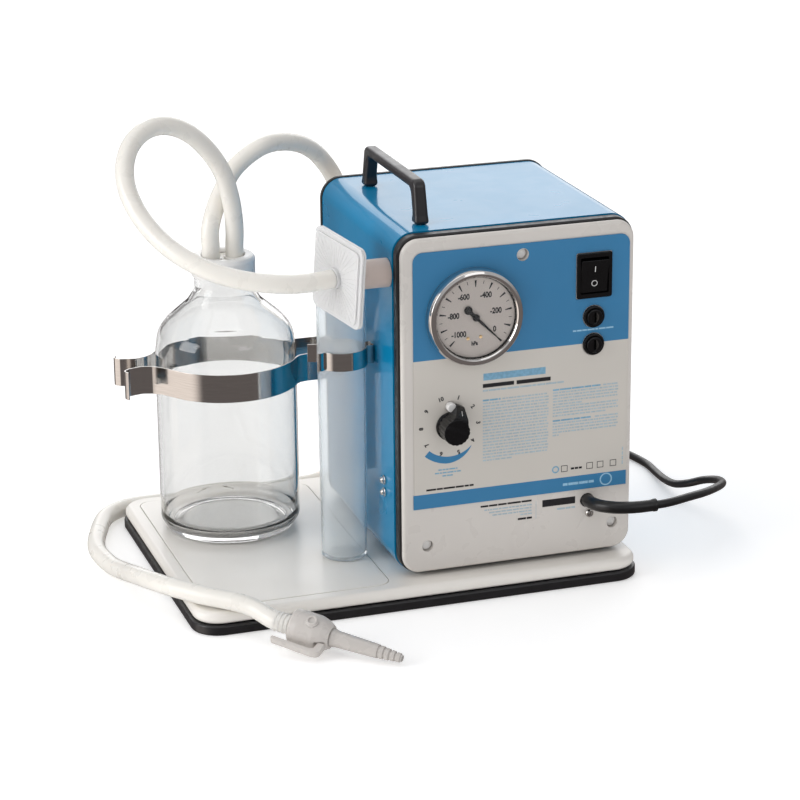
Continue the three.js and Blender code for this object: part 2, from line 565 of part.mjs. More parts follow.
// ---------------------------------------------------------------- hoses, lead and connector
function buildHoses(filter) {
  const stopperTop = CAP.top - 3;
  const start = filter.middle.clone().addScaledVector(filter.out, filter.face + GAP);
  const near = filter.middle.clone().addScaledVector(filter.out, filter.face + 14);
  const filterRoute = [
    [BOTTLE.x + PORT.offset, BOTTLE.y, stopperTop], [BOTTLE.x + PORT.offset, BOTTLE.y, stopperTop + 8],
    [BOTTLE.x + PORT.offset, BOTTLE.y - 2, 240],
    [-90.3, 38.8, 261.9], [-96.6, 36.8, 283.4], [-105.5, 36.4, 298.5], [-117.3, 34.5, 311.2],
    [-129.2, 32.2, 318.7], [-141.9, 28.5, 322], [-154.5, 23.2, 320.4], [-165.4, 16.1, 313.7],
    [-172.2, 7.2, 304], [-174.7, -0.9, 294.3], [-174.3, -9.3, 284.8], [-170, -21, 272.5],
    [-160.9, -36.3, 259.4], [-149, -51.3, 249.6], [-133.1, -66.1, 241.9], [-117.7, -76.6, 237.8],
    [-100.3, -84.1, 235.2], [-82.7, -87.5, 233.8],
    near.toArray(), start.toArray(),
  ];
  add('filter_hose', along(filterRoute, HOSE.radius, HOSE.sides), hoseSilicone);

  const [fx, fy, fz] = CONNECTOR.from;
  const [tx, ty, tz] = CONNECTOR.to;
  const aim = new THREE.Vector3(tx - fx, ty - fy, tz - fz).normalize();
  const joint = new THREE.Vector3(fx, fy, fz).addScaledVector(aim, -0.4);
  const patientRoute = [
    [BOTTLE.x - PORT.offset, BOTTLE.y, stopperTop], [BOTTLE.x - PORT.offset, BOTTLE.y, stopperTop + 8],
    [BOTTLE.x - PORT.offset, BOTTLE.y, 240],
    [-98.5, 51, 255], [-91, 56, 267], [-83, 59.5, 278], [-71.5, 62, 287], [-58.3, 64, 293.3],
    [-42.6, 72, 293], [-27.3, 80, 288.5], [-14.1, 88, 280], [-3.3, 95, 268], [5, 101, 255],
    [15, 110, 230], [24, 118, 200], [31, 124, 160], [35, 127, 115], [36, 128.5, 75], [32, 129, 44],
    [20, 129, 22], [0, 128.5, 10], [-24, 128, 7], [-60, 127.6, 6.9], [-100, 127.8, 6.9],
    [-138, 128.5, 6.9], [-157, 126, 6.9], [-174, 113, 6.9], [-187, 84, 6.9], [-196, 48, 6.9],
    [-193, 14, 7.4], [-188.9, -12, 12], [-186, -38, 18.5],
    [-180, -62, 22.6], [-168.5, -83, 23.7], [-152.6, -102.8, 23.7], [-142.6, -112.4, 23.6],
    [-133.8, -120.6, 23], [-125.8, -128.8, 21.1],
    joint.clone().addScaledVector(aim, -13).toArray(), joint.toArray(),
  ];
  add('patient_hose', along(patientRoute, HOSE.radius, HOSE.sides), hoseSilicone);
}

// Finger-control connector on the end of the patient hose, drawn along +Z from the hose, with
// its lever towards -Y. It lies rolled over, with the lever to the front and the button on top.
function buildConnector() {
  const from = new THREE.Vector3(...CONNECTOR.from);
  const to = new THREE.Vector3(...CONNECTOR.to);
  const length = from.distanceTo(to);
  const aim = to.clone().sub(from).normalize();
  const frame = new THREE.Matrix4();
  const across = new THREE.Vector3(0, 0, 1).cross(aim).normalize();
  const upward = aim.clone().cross(across);
  frame.makeBasis(across, upward, aim).setPosition(from);
  frame.multiply(new THREE.Matrix4().makeRotationZ(-THREE.MathUtils.degToRad(CONNECTOR.roll)));

  const bore = 2.2;
  const body = turned([
    [0, 0], [10.8, 0], [12.2, 1.4], [12.6, 6], [12.2, 19], [10.8, 24], [8.6, 28], [8, 29], [0, 29],
  ], 18);
  const button = turned([[0, 9], [3.7, 9], [3.7, 13.6], [0, 13.6]], 12).rotateX(-Math.PI / 2);
  button.translate(0, 0, 16).rotateZ(THREE.MathUtils.degToRad(98));
  const slot = box(-3.2, 3.2, -20, -8.6, 21, 40);
  const channel = turned([[0, -12], [bore, -12], [bore, 40], [0, 40]], 12);
  const shell = cut(join(body, button), slot, channel);
  add('connector_body', shell.applyMatrix4(frame), whitePlastic);

  const tip = [[bore, 29.3], [6.4, 29.3], [5.9, 33]];
  const steps = 4;
  const first = length - 20;
  tip.push([4.9, first]);
  for (let k = 0; k < steps; k += 1) {
    tip.push([4.9 - k * 0.45, first + k * 4.4], [4.3 - k * 0.45, first + (k + 1) * 4.4]);
  }
  tip.push([2.7, length], [bore, length], [bore, 29.3]);
  add('connector_nozzle', turned(tip, 12).applyMatrix4(frame), whitePlastic);
  return frame;
}

// Thumb lever beside the body, from the side as [along the connector, out from its axis].
function buildLever(frame) {
  const half = 2.6;
  const sideView = [
    [-9, 14.8], [-8.2, 17.9], [22, 19.8], [27.5, 18.6], [28.4, 9.4], [23.4, 9.4], [22.4, 15.6], [20, 16.4],
  ];
  const shape = polygon(sideView.map(([run, drop]) => [run, -drop]));
  // The drawing's X runs along the connector and its Y is up, so it is turned to match the frame.
  const solid = slab(shape, 2 * half).translate(0, 0, -half).rotateY(-Math.PI / 2);
  add('connector_lever', solid.applyMatrix4(frame), whitePlastic);
}

function buildLead() {
  const exit = [PANEL.left + LEAD_EXIT.u, FRONT, PANEL.bottom + LEAD_EXIT.v];
  const [x, y, z] = exit;
  const sleeveRoute = [
    [x, y + 14, z], [x, y + 6, z], [x + 0.4, y - 6, z + 0.4], [x + 3.6, y - 17, z + 1.2],
    [x + 13, y - 26, z + 1.8], [x + 27, y - 30, z + 2], [x + 40, y - 30.5, z + 2.2],
  ];
  add('lead_sleeve', along(sleeveRoute, 4.6, 10), blackRubber);
  const leadRoute = [
    [x + 40.6, y - 30.5, z + 2.2], [x + 46, y - 30.4, z + 2.3], [x + 54, y - 28.5, z + 2.2],
    [194, -125, 59.6], [214, -111, 56], [236, -86, 49], [251, -60, 41], [257.5, -36, 34],
    [256, -16, 27], [251, 0, 19.5], [248.5, 18, 13],
    [250, 40, 8.4], [254, 66, 4.6], [256, 92, 3.3], [252, 114, 3.3], [246.5, 131, 3.3], [243, 147, 3.3],
  ];
  add('power_lead', along(leadRoute, LEAD.radius, LEAD.sides), blackRubber);
  const inner = COIL.mean - COIL.width / 2;
  const outer = COIL.mean + COIL.width / 2;
  const section = [
    [inner, 0.3], [outer, 0.3], [outer, COIL.height], [inner, COIL.height], [inner, 0.3],
  ];
  add('power_lead_coil', turned(section, 28).translate(COIL.x, COIL.y, 0), blackRubber);

  // Drawn along X with its tail end at the origin, then turned to face away from the coil.
  const { width, thick, length, pin } = PLUG;
  const start = -21;
  const relief = turned([[0, 0], [5.4, 0], [3.6, 21], [0, 21]], 12).rotateY(Math.PI / 2);
  relief.translate(start, 0, 0);
  const halfW = width / 2;
  const grip = slab(polygon([
    [start, -8], [start, 8], [start - 12, halfW], [start - length, halfW],
    [start - length, -halfW], [start - 12, -halfW],
  ]), thick, 1.5, 3).translate(0, 0, -thick / 2);
  let plug = join(relief, grip);
  for (const side of [-9.5, 9.5]) {
    const end = start - length;
    const pinBody = turned([[0, 0], [1, 0], [2, 1], [2, pin + 2], [0, pin + 2]], 10);
    plug = join(plug, pinBody.rotateY(Math.PI / 2).translate(end - pin, side, 0));
  }
  plug.rotateZ(THREE.MathUtils.degToRad(PLUG.heading));
  add('mains_plug', plug.translate(PLUG.x, PLUG.y, PLUG.z), blackPlastic);
}

// ---------------------------------------------------------------- pump unit inside the housing
function buildPumpUnit() {
  const { x, z, radius, front, back, shaft } = MOTOR;
  const floor = PANEL.bottom - SLEEVE.lip + SLEEVE.wall + GAP;
  const deck = floor + 8;
  const section = polygon([
    [x - 60, floor], [x - 58, floor], [x - 58, deck], [x + 58, deck], [x + 58, floor], [x + 60, floor],
    [x + 60, deck + 2], [x - 60, deck + 2],
  ]);
  add('pump_chassis', upright(section, 124, -72), castMetal);

  const seat = deck + 2 + GAP;
  const can = turned([
    [shaft + 0.4, front], [radius - 3, front], [radius, front + 3], [radius, back - 3], [radius - 3, back],
    [shaft + 0.4, back], [shaft + 0.4, front],
  ], 28).rotateX(-Math.PI / 2).translate(x, 0, z);
  const foot = box(x - 22, x + 22, front + 12, back - 12, seat, z - 26);
  add('motor_body', join(can, foot), castMetal);

  // Shaft with its crank disc and pin, one piece; heights here run along +Y.
  const { throw: reach, pin } = CRANK;
  const disc = back + CRANK.gap;
  const face = disc + CRANK.thick;
  const tail = front - 14;
  const rod = turned([
    [0, tail], [shaft, tail], [shaft, disc], [CRANK.radius, disc], [CRANK.radius, face], [0, face],
  ], 20);
  const crankPin = turned([[0, face - 2], [pin, face - 2], [pin, face + 12], [0, face + 12]], 14);
  crankPin.translate(0, -reach, 0);
  add('motor_shaft', join(rod, crankPin).rotateX(-Math.PI / 2).translate(x, 0, z), steel);

  const hubEnd = front - 4;
  const inner = shaft + GAP;
  let fan = turned([[inner, tail + 1], [9, tail + 1], [9, hubEnd], [inner, hubEnd], [inner, tail + 1]], 16);
  for (let k = 0; k < 6; k += 1) {
    fan = join(fan, box(7, 28, -1, 1, tail + 2, hubEnd - 1).rotateZ((k * Math.PI) / 3));
  }
  add('motor_fan', fan.rotateX(-Math.PI / 2).translate(x, 0, z), blackPlastic);

  const pinZ = z + reach;
  const eyeFront = face + 1.4;
  const eyeBack = face + 10;
  const eye = turned([[0, eyeFront], [9, eyeFront], [9, eyeBack], [0, eyeBack]], 18);
  const eyeBore = turned([[0, disc], [pin + 0.35, disc], [pin + 0.35, face + 20], [0, face + 20]], 16);
  for (const piece of [eye, eyeBore]) piece.rotateX(-Math.PI / 2).translate(x, 0, pinZ);
  const stem = box(x - 4, x + 4, HEAD.y - 3, HEAD.y + 3, pinZ + 6, 131);
  const plate = turned([[0, 130.5], [17, 130.5], [17, 134], [0, 134]], 20).translate(x, HEAD.y, 0);
  add('connecting_rod', cut(join(eye, stem, plate), eyeBore), castMetal);

  const cup = turned([
    [HEAD.bore, HEAD.low], [HEAD.outer, HEAD.low], [HEAD.outer, HEAD.top], [3, HEAD.top], [3, HEAD.top - 5],
    [HEAD.bore, HEAD.top - 5], [HEAD.bore, HEAD.low],
  ], 24).translate(x, HEAD.y, 0);
  const legs = [-1, 1].map((side) => box(
    x + side * 27.5 - 2.4, x + side * 27.5 + 2.4, HEAD.y - 9, HEAD.y + 9, seat, HEAD.low + 2,
  ));
  add('pump_frame', join(cup, ...legs), castMetal);
  const skin = [[0, 136.4], [HEAD.bore - GAP, 136.4], [HEAD.bore - GAP, 138], [0, 138]];
  add('pump_diaphragm', turned(skin, 20).translate(x, HEAD.y, 0), blackRubber);

  const line = [
    [x, HEAD.y, HEAD.top + GAP], [x, HEAD.y, 165], [x, 32, 190], [66, 10, 215], [54, -22, 232],
    [38, -54, 240], [28, -74, 239], [19, -80.5, 235], [12, INLET.y, INLET.z], [6.4, INLET.y, INLET.z],
  ];
  add('vacuum_line', along(line, 4, 8), hoseSilicone);
}

buildBase();
buildHousing();
buildFrontPanel();
buildRearPanel();
buildSideScrews();
buildHandle();
buildGauge();
buildSwitch();
buildRocker();
buildFuses();
buildRegulator();
buildBottle();
buildClips();
buildCatheterTube();
buildHoses(buildInletAndFilter());
buildLever(buildConnector());
buildLead();
buildPumpUnit();

export default pump;
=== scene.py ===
"""Looks of the suction pump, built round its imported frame. Lengths here are in millimetres."""

import math
import random

import bmesh
import bpy
from mathutils import Matrix, Vector


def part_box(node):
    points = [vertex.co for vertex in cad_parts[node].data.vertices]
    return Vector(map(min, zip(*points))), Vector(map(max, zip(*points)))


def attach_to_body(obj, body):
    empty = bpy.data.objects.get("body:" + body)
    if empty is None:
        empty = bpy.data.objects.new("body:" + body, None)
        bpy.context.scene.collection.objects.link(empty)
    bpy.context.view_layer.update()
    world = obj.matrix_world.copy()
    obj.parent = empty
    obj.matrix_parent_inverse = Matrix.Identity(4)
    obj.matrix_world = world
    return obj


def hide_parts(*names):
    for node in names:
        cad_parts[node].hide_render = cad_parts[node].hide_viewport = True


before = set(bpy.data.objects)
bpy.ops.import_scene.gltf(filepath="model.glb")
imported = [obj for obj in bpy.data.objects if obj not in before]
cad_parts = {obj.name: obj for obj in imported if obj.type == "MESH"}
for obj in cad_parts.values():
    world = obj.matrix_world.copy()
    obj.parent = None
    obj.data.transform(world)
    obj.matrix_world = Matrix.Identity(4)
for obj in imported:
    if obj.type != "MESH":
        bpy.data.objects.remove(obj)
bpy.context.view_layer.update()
MM = 0.001
SCENE = bpy.context.scene
random.seed(7)


# ------------------------------------------------------------------ the part's own sizes
def box(node):
    """A node's lowest and highest corners, to the tenth of a millimetre that the part is drawn to."""
    return [tuple(round(c / MM, 1) for c in corner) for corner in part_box(node)]


def middle(node):
    low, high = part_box(node)
    return tuple(round((a + b) / 2 / MM, 1) for a, b in zip(low, high))


def middle_on_panel(node):
    """Where a node's middle is, across the front panel and up it."""
    x, _, z = middle(node)
    return round(x - PANEL_LEFT, 1), round(z - PANEL_BOTTOM, 1)


(PANEL_LEFT, FRONT, PANEL_BOTTOM), (PANEL_RIGHT, _, PANEL_TOP) = box("front_panel")
PANEL_WIDTH = round(PANEL_RIGHT - PANEL_LEFT, 1)
PANEL_HEIGHT = round(PANEL_TOP - PANEL_BOTTOM, 1)
WALL = box("housing_sleeve")[0][0]
GAUGE = middle_on_panel("gauge_case")
SWITCH = middle_on_panel("switch_frame")
FUSES = {level: middle_on_panel(f"fuse_holder_{level}")[1] for level in ("upper", "lower")}
KNOB = middle_on_panel("regulator_body")
PEG = middle_on_panel("regulator_stop")
POCKETS = {side: middle_on_panel(f"panel_screw_{side}") for side in ("top", "left", "right")}
CLAMP = middle_on_panel("lead_clamp_screw")
LEAD_HOLE = (137.2, 38.6)
LEAD_EXIT = (126.1, FRONT, 58.3)
BOTTLE = middle("bottle")[:2]
BOTTOM = box("bottle")[0][2]
TUBE = middle("catheter_tube")[:2]
INLET = middle("inlet_nipple")[1:]
FILTER = Vector(middle("filter_membrane"))
FILTER_TURN = math.radians(16)
FILTER_OUT = Vector((-math.cos(FILTER_TURN), -math.sin(FILTER_TURN), 0))
HOSE_RADIUS, LEAD_RADIUS = 6.5, 3.0
PIPE_APART = 8.7
STOPPER_TOP = 218.6
CONNECTOR_FROM = Vector((-106.4, -154.2, 16.0))
CONNECTOR_TO = Vector((-46.3, -206.8, 5.0))
CONNECTOR_AIM = (CONNECTOR_TO - CONNECTOR_FROM).normalized()
CONNECTOR_ROLL = 68
COIL = middle("power_lead_coil")[:2]
PLUG = (150.8, 206.7, 7.3)
PLUG_HEADING = math.radians(200)

WORLD = Matrix.Identity(4)
# Turns a drawing onto its side: its X goes to Y, its Y to Z and its Z to X.
ON_SIDE = Matrix(((0, 0, 1, 0), (1, 0, 0, 0), (0, 1, 0, 0), (0, 0, 0, 1)))
# The front panel's own frame: X along it, Y up it and Z out of it.
PANEL = Matrix(((1, 0, 0, PANEL_LEFT), (0, 0, -1, FRONT), (0, 1, 0, PANEL_BOTTOM), (0, 0, 0, 1)))


def on_panel(u, v, out=0.0):
    return PANEL @ Matrix.Translation((u, v, out))


def spun(axis, degrees):
    return Matrix.Rotation(math.radians(degrees), 4, axis)


def looking(position, out, up=Vector((0, 0, 1))):
    """A frame at position whose Z points along out and whose Y is as near up as it can be."""
    z = Vector(out).normalized()
    x = Vector(up).cross(z).normalized()
    y = z.cross(x)
    turn = Matrix((x, y, z)).transposed().to_4x4()
    return Matrix.Translation(position) @ turn


# ------------------------------------------------------------------ materials
def srgb(red, green, blue):
    """A colour given on the usual 0 to 255 scale, as linear light."""
    parts = [c / 255 for c in (red, green, blue)]
    linear = [c / 12.92 if c <= 0.04045 else ((c + 0.055) / 1.055) ** 2.4 for c in parts]
    return (*linear, 1.0)


def remap(tree, value, source, target, easing="LINEAR"):
    """A node tree's value carried from one range to another."""
    node = tree.nodes.new("ShaderNodeMapRange")
    node.interpolation_type = easing
    for socket, number in zip(("From Min", "From Max", "To Min", "To Max"), (*source, *target)):
        node.inputs[socket].default_value = number
    tree.links.new(value, node.inputs["Value"])
    return node.outputs["Result"]


class Recipe:
    """A Principled material whose colour, roughness and bump come from noise in object space."""

    def __init__(self, name, color, roughness, stretch=(1, 1, 1), **sockets):
        self.material = bpy.data.materials.new(name)
        self.material.use_nodes = True
        self.tree = self.material.node_tree
        self.shader = self.tree.nodes["Principled BSDF"]
        self.color = color
        self.roughness = roughness
        place = self.tree.nodes.new("ShaderNodeTexCoord")
        mapping = self.tree.nodes.new("ShaderNodeMapping")
        mapping.inputs["Scale"].default_value = stretch
        self.tree.links.new(place.outputs["Object"], mapping.inputs["Vector"])
        self.place = mapping.outputs["Vector"]
        self.normal = None
        for socket, value in sockets.items():
            self.shader.inputs[socket.replace("_", " ")].default_value = value
        self.shader.inputs["Base Color"].default_value = color
        self.shader.inputs["Roughness"].default_value = roughness

    def noise(self, scale, detail=3.0, distortion=0.0):
        node = self.tree.nodes.new("ShaderNodeTexNoise")
        node.inputs["Scale"].default_value = scale
        node.inputs["Detail"].default_value = detail
        node.inputs["Distortion"].default_value = distortion
        self.tree.links.new(self.place, node.inputs["Vector"])
        return node.outputs["Fac"]

    def spread(self, value, low, high):
        return remap(self.tree, value, (0.2, 0.8), (low, high), "SMOOTHERSTEP")

    def mottle(self, scale, amount, detail=2.0):
        """The colour drifts between a darker and a lighter tone."""
        low = tuple(c * (1 - amount) for c in self.color[:3]) + (1.0,)
        high = tuple(min(1.0, c * (1 + amount)) for c in self.color[:3]) + (1.0,)
        mix = self.tree.nodes.new("ShaderNodeMix")
        mix.data_type = "RGBA"
        mix.inputs["A"].default_value = low
        mix.inputs["B"].default_value = high
        self.tree.links.new(self.spread(self.noise(scale, detail), 0, 1), mix.inputs["Factor"])
        self.tree.links.new(mix.outputs["Result"], self.shader.inputs["Base Color"])
        return self

    def uneven(self, scale, amount, detail=3.0):
        """The roughness drifts, as where a surface has been handled or wiped."""
        low, high = max(0.02, self.roughness - amount), min(1.0, self.roughness + amount)
        result = self.spread(self.noise(scale, detail, 0.4), low, high)
        self.tree.links.new(result, self.shader.inputs["Roughness"])
        return self

    def bump(self, scale, height, detail=2.0, strength=1.0):
        """A relief of that height in millimetres, on top of any earlier one."""
        node = self.tree.nodes.new("ShaderNodeBump")
        node.inputs["Distance"].default_value = height * MM
        node.inputs["Strength"].default_value = strength
        self.tree.links.new(self.noise(scale, detail), node.inputs["Height"])
        if self.normal:
            self.tree.links.new(self.normal, node.inputs["Normal"])
        self.normal = node.outputs["Normal"]
        self.tree.links.new(self.normal, self.shader.inputs["Normal"])
        return self


def ink(name, color, scale=700, amount=0.1):
    """Printed marks, matt and faintly speckled."""
    return Recipe(name, color, 0.5).mottle(scale, amount).bump(2500, 0.004).material


PANEL_WHITE = (
    Recipe("panel_white", srgb(217, 212, 206), 0.3, Coat_Weight=0.3, Coat_Roughness=0.18)
    .mottle(9, 0.012).uneven(60, 0.06).bump(1100, 0.008)
).material
BASE_WHITE = (
    Recipe("base_white", srgb(242, 238, 231), 0.34, Coat_Weight=0.3, Coat_Roughness=0.22)
    .mottle(7, 0.015).uneven(30, 0.06).bump(1300, 0.006)
).material
CAP_WHITE = (
    Recipe("cap_white", srgb(230, 229, 227), 0.35, Coat_Weight=0.2, Coat_Roughness=0.2)
    .mottle(60, 0.015).uneven(120, 0.08).bump(1400, 0.01)
).material
PAINT_GLOSS = {"Coat_Weight": 0.62, "Coat_Roughness": 0.02, "Specular_IOR_Level": 0.1}
BLUE_PAINT = (
    Recipe("blue_paint", srgb(3, 133, 182), 0.3, **PAINT_GLOSS)
    .mottle(10, 0.03).uneven(40, 0.03).bump(5, 0.02, 1)
).material
LABEL_BLUE = (
    Recipe("label_blue", srgb(50, 127, 175), 0.42)
    .mottle(25, 0.02).uneven(90, 0.06).bump(1600, 0.008)
).material
LABEL_WHITE = (
    Recipe("label_white", srgb(208, 203, 195), 0.45)
    .mottle(25, 0.012).uneven(90, 0.06).bump(1600, 0.008)
).material
PRINT_BLUE = ink("print_blue", srgb(122, 170, 198), 500, 0.12)
PRINT_PALE = ink("print_pale", srgb(172, 190, 199))
PRINT_LIGHT = ink("print_light", srgb(150, 196, 222), 700, 0.08)
PRINT_DARK = ink("print_dark", srgb(34, 34, 38), 700, 0.2)
MARK_WHITE = ink("mark_white", srgb(206, 206, 204), 900, 0.08)
RUBBER = (
    Recipe("black_rubber", srgb(24, 24, 27), 0.42, Coat_Weight=0.2, Coat_Roughness=0.3)
    .mottle(160, 0.18).uneven(220, 0.1).bump(1800, 0.015, 4)
).material
LEAD_BLACK = (
    Recipe("lead_black", srgb(15, 15, 17), 0.36, Coat_Weight=0.1, Coat_Roughness=0.25)
    .mottle(200, 0.2).uneven(240, 0.08).bump(1500, 0.01, 3)
).material
BLACK_PLASTIC = (
    Recipe("black_plastic", srgb(10, 10, 12), 0.22, Specular_IOR_Level=0.4)
    .mottle(120, 0.15).uneven(160, 0.06).bump(2600, 0.005, 4)
).material
HANDLE_BLACK = (
    Recipe("handle_black", srgb(30, 27, 30), 0.36, Coat_Weight=0.25, Coat_Roughness=0.25)
    .mottle(90, 0.12).uneven(90, 0.07).bump(2400, 0.012, 4)
).material
STEEL = (
    Recipe("polished_steel", (0.58, 0.56, 0.54, 1), 0.1, (1, 1, 26), Metallic=1.0, Anisotropic=0.3)
    .mottle(55, 0.04).uneven(140, 0.04).bump(380, 0.002, 3).bump(16, 0.05)
).material
CHROME = (
    Recipe("chrome", (0.72, 0.70, 0.68, 1), 0.07, Metallic=1.0)
    .mottle(90, 0.03).uneven(180, 0.03).bump(500, 0.001)
).material
BRASS = (
    Recipe("brass", srgb(214, 184, 140), 0.25, Metallic=1.0)
    .mottle(300, 0.1).uneven(500, 0.1).bump(900, 0.01)
).material
CAST = (
    Recipe("cast_metal", (0.5, 0.51, 0.53, 1), 0.5, Metallic=1.0)
    .mottle(120, 0.12).uneven(260, 0.12).bump(900, 0.08, 5)
).material
MOTOR_GREY = (
    Recipe("motor_grey", srgb(70, 74, 80), 0.55)
    .mottle(120, 0.12).uneven(260, 0.1).bump(800, 0.1, 5)
).material
DIAL_WHITE = (
    Recipe("dial_white", srgb(214, 205, 198), 0.5)
    .mottle(90, 0.012).uneven(300, 0.05).bump(2500, 0.004)
).material
# Light sinks a few millimetres into the rubbers and the connector's plastic.
HOSE_DEPTH = {"Subsurface_Weight": 0.4, "Subsurface_Scale": 0.004, "Subsurface_Radius": (1, 0.95, 0.9)}
CREAM_DEPTH = {"Subsurface_Weight": 0.3, "Subsurface_Scale": 0.004, "Subsurface_Radius": (1, 0.9, 0.8)}
PLASTIC_DEPTH = {"Subsurface_Weight": 0.2, "Subsurface_Scale": 0.003, "Subsurface_Radius": (1, 0.95, 0.9)}
SILICONE = (
    Recipe("silicone", srgb(238, 235, 228), 0.3, Coat_Weight=0.3, Coat_Roughness=0.12, **HOSE_DEPTH)
    .mottle(40, 0.01).uneven(90, 0.05).bump(500, 0.004)
).material
CREAM = (
    Recipe("cream_rubber", srgb(206, 191, 183), 0.45, **CREAM_DEPTH)
    .mottle(90, 0.03).uneven(180, 0.08).bump(900, 0.015)
).material
GLASS = (
    Recipe("bottle_glass", (0.87, 0.872, 0.866, 1), 0.01, Transmission_Weight=1.0, IOR=1.5)
    .uneven(30, 0.008).bump(20, 0.08, 2)
).material
LENS = (
    Recipe("lens", (0.98, 0.98, 0.98, 1), 0.01, Transmission_Weight=1.0, IOR=1.2)
    .uneven(60, 0.008).bump(40, 0.005)
).material
FROSTED_GLOSS = {"Transmission_Weight": 0.8, "IOR": 1.08, "Coat_Weight": 0.4, "Coat_Roughness": 0.12}
FROSTED = (
    Recipe("frosted_tube", srgb(250, 253, 255), 0.14, **FROSTED_GLOSS)
    .mottle(30, 0.01).uneven(70, 0.04).bump(300, 0.006)
).material
FILTER_GLOSS = {"Transmission_Weight": 0.35, "IOR": 1.3, "Coat_Weight": 0.4, "Coat_Roughness": 0.08}
FILTER_CLEAR = (
    Recipe("filter_clear", srgb(255, 255, 255), 0.14, **FILTER_GLOSS)
    .mottle(160, 0.015).uneven(200, 0.05).bump(520, 0.02)
).material
FILTER_PAPER = (
    Recipe("filter_paper", srgb(252, 251, 252), 0.7)
    .mottle(900, 0.03).bump(1500, 0.06, 5)
).material
CONNECTOR_WHITE = (
    Recipe("connector_white", srgb(205, 200, 195), 0.3, **PLASTIC_DEPTH)
    .mottle(90, 0.015).uneven(160, 0.06).bump(1400, 0.006)
).material
NOZZLE_GREY = (
    Recipe("nozzle_grey", srgb(198, 193, 188), 0.26, Coat_Weight=0.3, Coat_Roughness=0.12, **PLASTIC_DEPTH)
    .mottle(60, 0.015).uneven(120, 0.06).bump(900, 0.004)
).material


# ------------------------------------------------------------------ outlines
def rounded(points, radius, steps=6, closed=True):
    """Corners replaced by arcs of that radius, or of one radius per corner."""
    points = [p for i, p in enumerate(points) if (Vector(p) - Vector(points[i - 1])).length > 1e-6]
    count = len(points)
    radii = radius if isinstance(radius, (list, tuple)) else [radius] * count
    out = []
    for i, point in enumerate(points):
        here = Vector(point)
        to_last = Vector(points[i - 1]) - here
        to_next = Vector(points[(i + 1) % count]) - here
        if radii[i] <= 0 or (not closed and i in (0, count - 1)):
            out.append(tuple(here))
            continue
        angle = to_last.angle(to_next)
        if angle > math.pi - 0.02:
            out.append(tuple(here))
            continue
        reach = min(radii[i] / math.tan(angle / 2), 0.49 * to_last.length, 0.49 * to_next.length)
        size = reach * math.tan(angle / 2)
        inward = (to_last.normalized() + to_next.normalized()).normalized()
        centre = here + inward * size / math.sin(angle / 2)
        start = here + to_last.normalized() * reach - centre
        end = here + to_next.normalized() * reach - centre
        for k in range(steps + 1):
            turned = start.slerp(end, k / steps).normalized() * size
            out.append(tuple(centre + turned))
    return out


def rectangle(x0, x1, y0, y1, radius=0.0, steps=8):
    corners = [(x0, y0), (x1, y0), (x1, y1), (x0, y1)]
    return rounded(corners, radius, steps) if radius else corners


def circle(x, y, radius, steps=48):
    angles = [2 * math.pi * k / steps for k in range(steps)]
    return [(x + radius * math.cos(a), y + radius * math.sin(a)) for a in angles]


def arc(x, y, radius, start, end, steps):
    angles = [math.radians(start + (end - start) * k / steps) for k in range(steps + 1)]
    return [(x + radius * math.cos(a), y + radius * math.sin(a)) for a in angles]


# ------------------------------------------------------------------ meshes
def mesh_object(name, verts, faces, material, place=WORLD):
    """A mesh drawn in millimetres in a frame, set in the row frame in metres."""
    mesh = bpy.data.meshes.new(name)
    mesh.from_pydata([(place @ Vector(v)) * MM for v in verts], [], faces)
    body = bmesh.new()
    body.from_mesh(mesh)
    bmesh.ops.remove_doubles(body, verts=body.verts, dist=1e-7)
    bmesh.ops.recalc_face_normals(body, faces=body.faces)
    body.to_mesh(mesh)
    body.free()
    mesh.materials.append(material)
    obj = bpy.data.objects.new(name, mesh)
    SCENE.collection.objects.link(obj)
    return obj


def applied(obj):
    """The object with its modifiers made part of its mesh."""
    if not obj.modifiers:
        return obj
    depsgraph = bpy.context.evaluated_depsgraph_get()
    mesh = bpy.data.meshes.new_from_object(obj.evaluated_get(depsgraph))
    obj.modifiers.clear()
    old = obj.data
    obj.data = mesh
    mesh.name = obj.name
    if old.users == 0:
        (bpy.data.meshes if isinstance(old, bpy.types.Mesh) else bpy.data.curves).remove(old)
    return obj


def bevelled(obj, width, segments=3, angle=40):
    modifier = obj.modifiers.new("edges", "BEVEL")
    modifier.width = width * MM
    modifier.segments = segments
    modifier.limit_method = "ANGLE"
    modifier.angle_limit = math.radians(angle)
    modifier.harden_normals = False
    return obj


def without(obj, *cutters):
    """The object less the cutters, which are removed."""
    applied(obj)
    for cutter in cutters:
        modifier = obj.modifiers.new("cut", "BOOLEAN")
        modifier.operation = "DIFFERENCE"
        modifier.solver = "EXACT"
        modifier.object = cutter
        applied(obj)
        bpy.data.objects.remove(cutter)
    return obj


def smooth(obj, angle=35):
    """Shaded smooth, with flat faces kept flat and edges sharper than the angle kept sharp."""
    applied(obj)
    obj.data.shade_smooth()
    obj.data.set_sharp_from_angle(angle=math.radians(angle))
    modifier = obj.modifiers.new("normals", "WEIGHTED_NORMAL")
    modifier.keep_sharp = True
    return applied(obj)


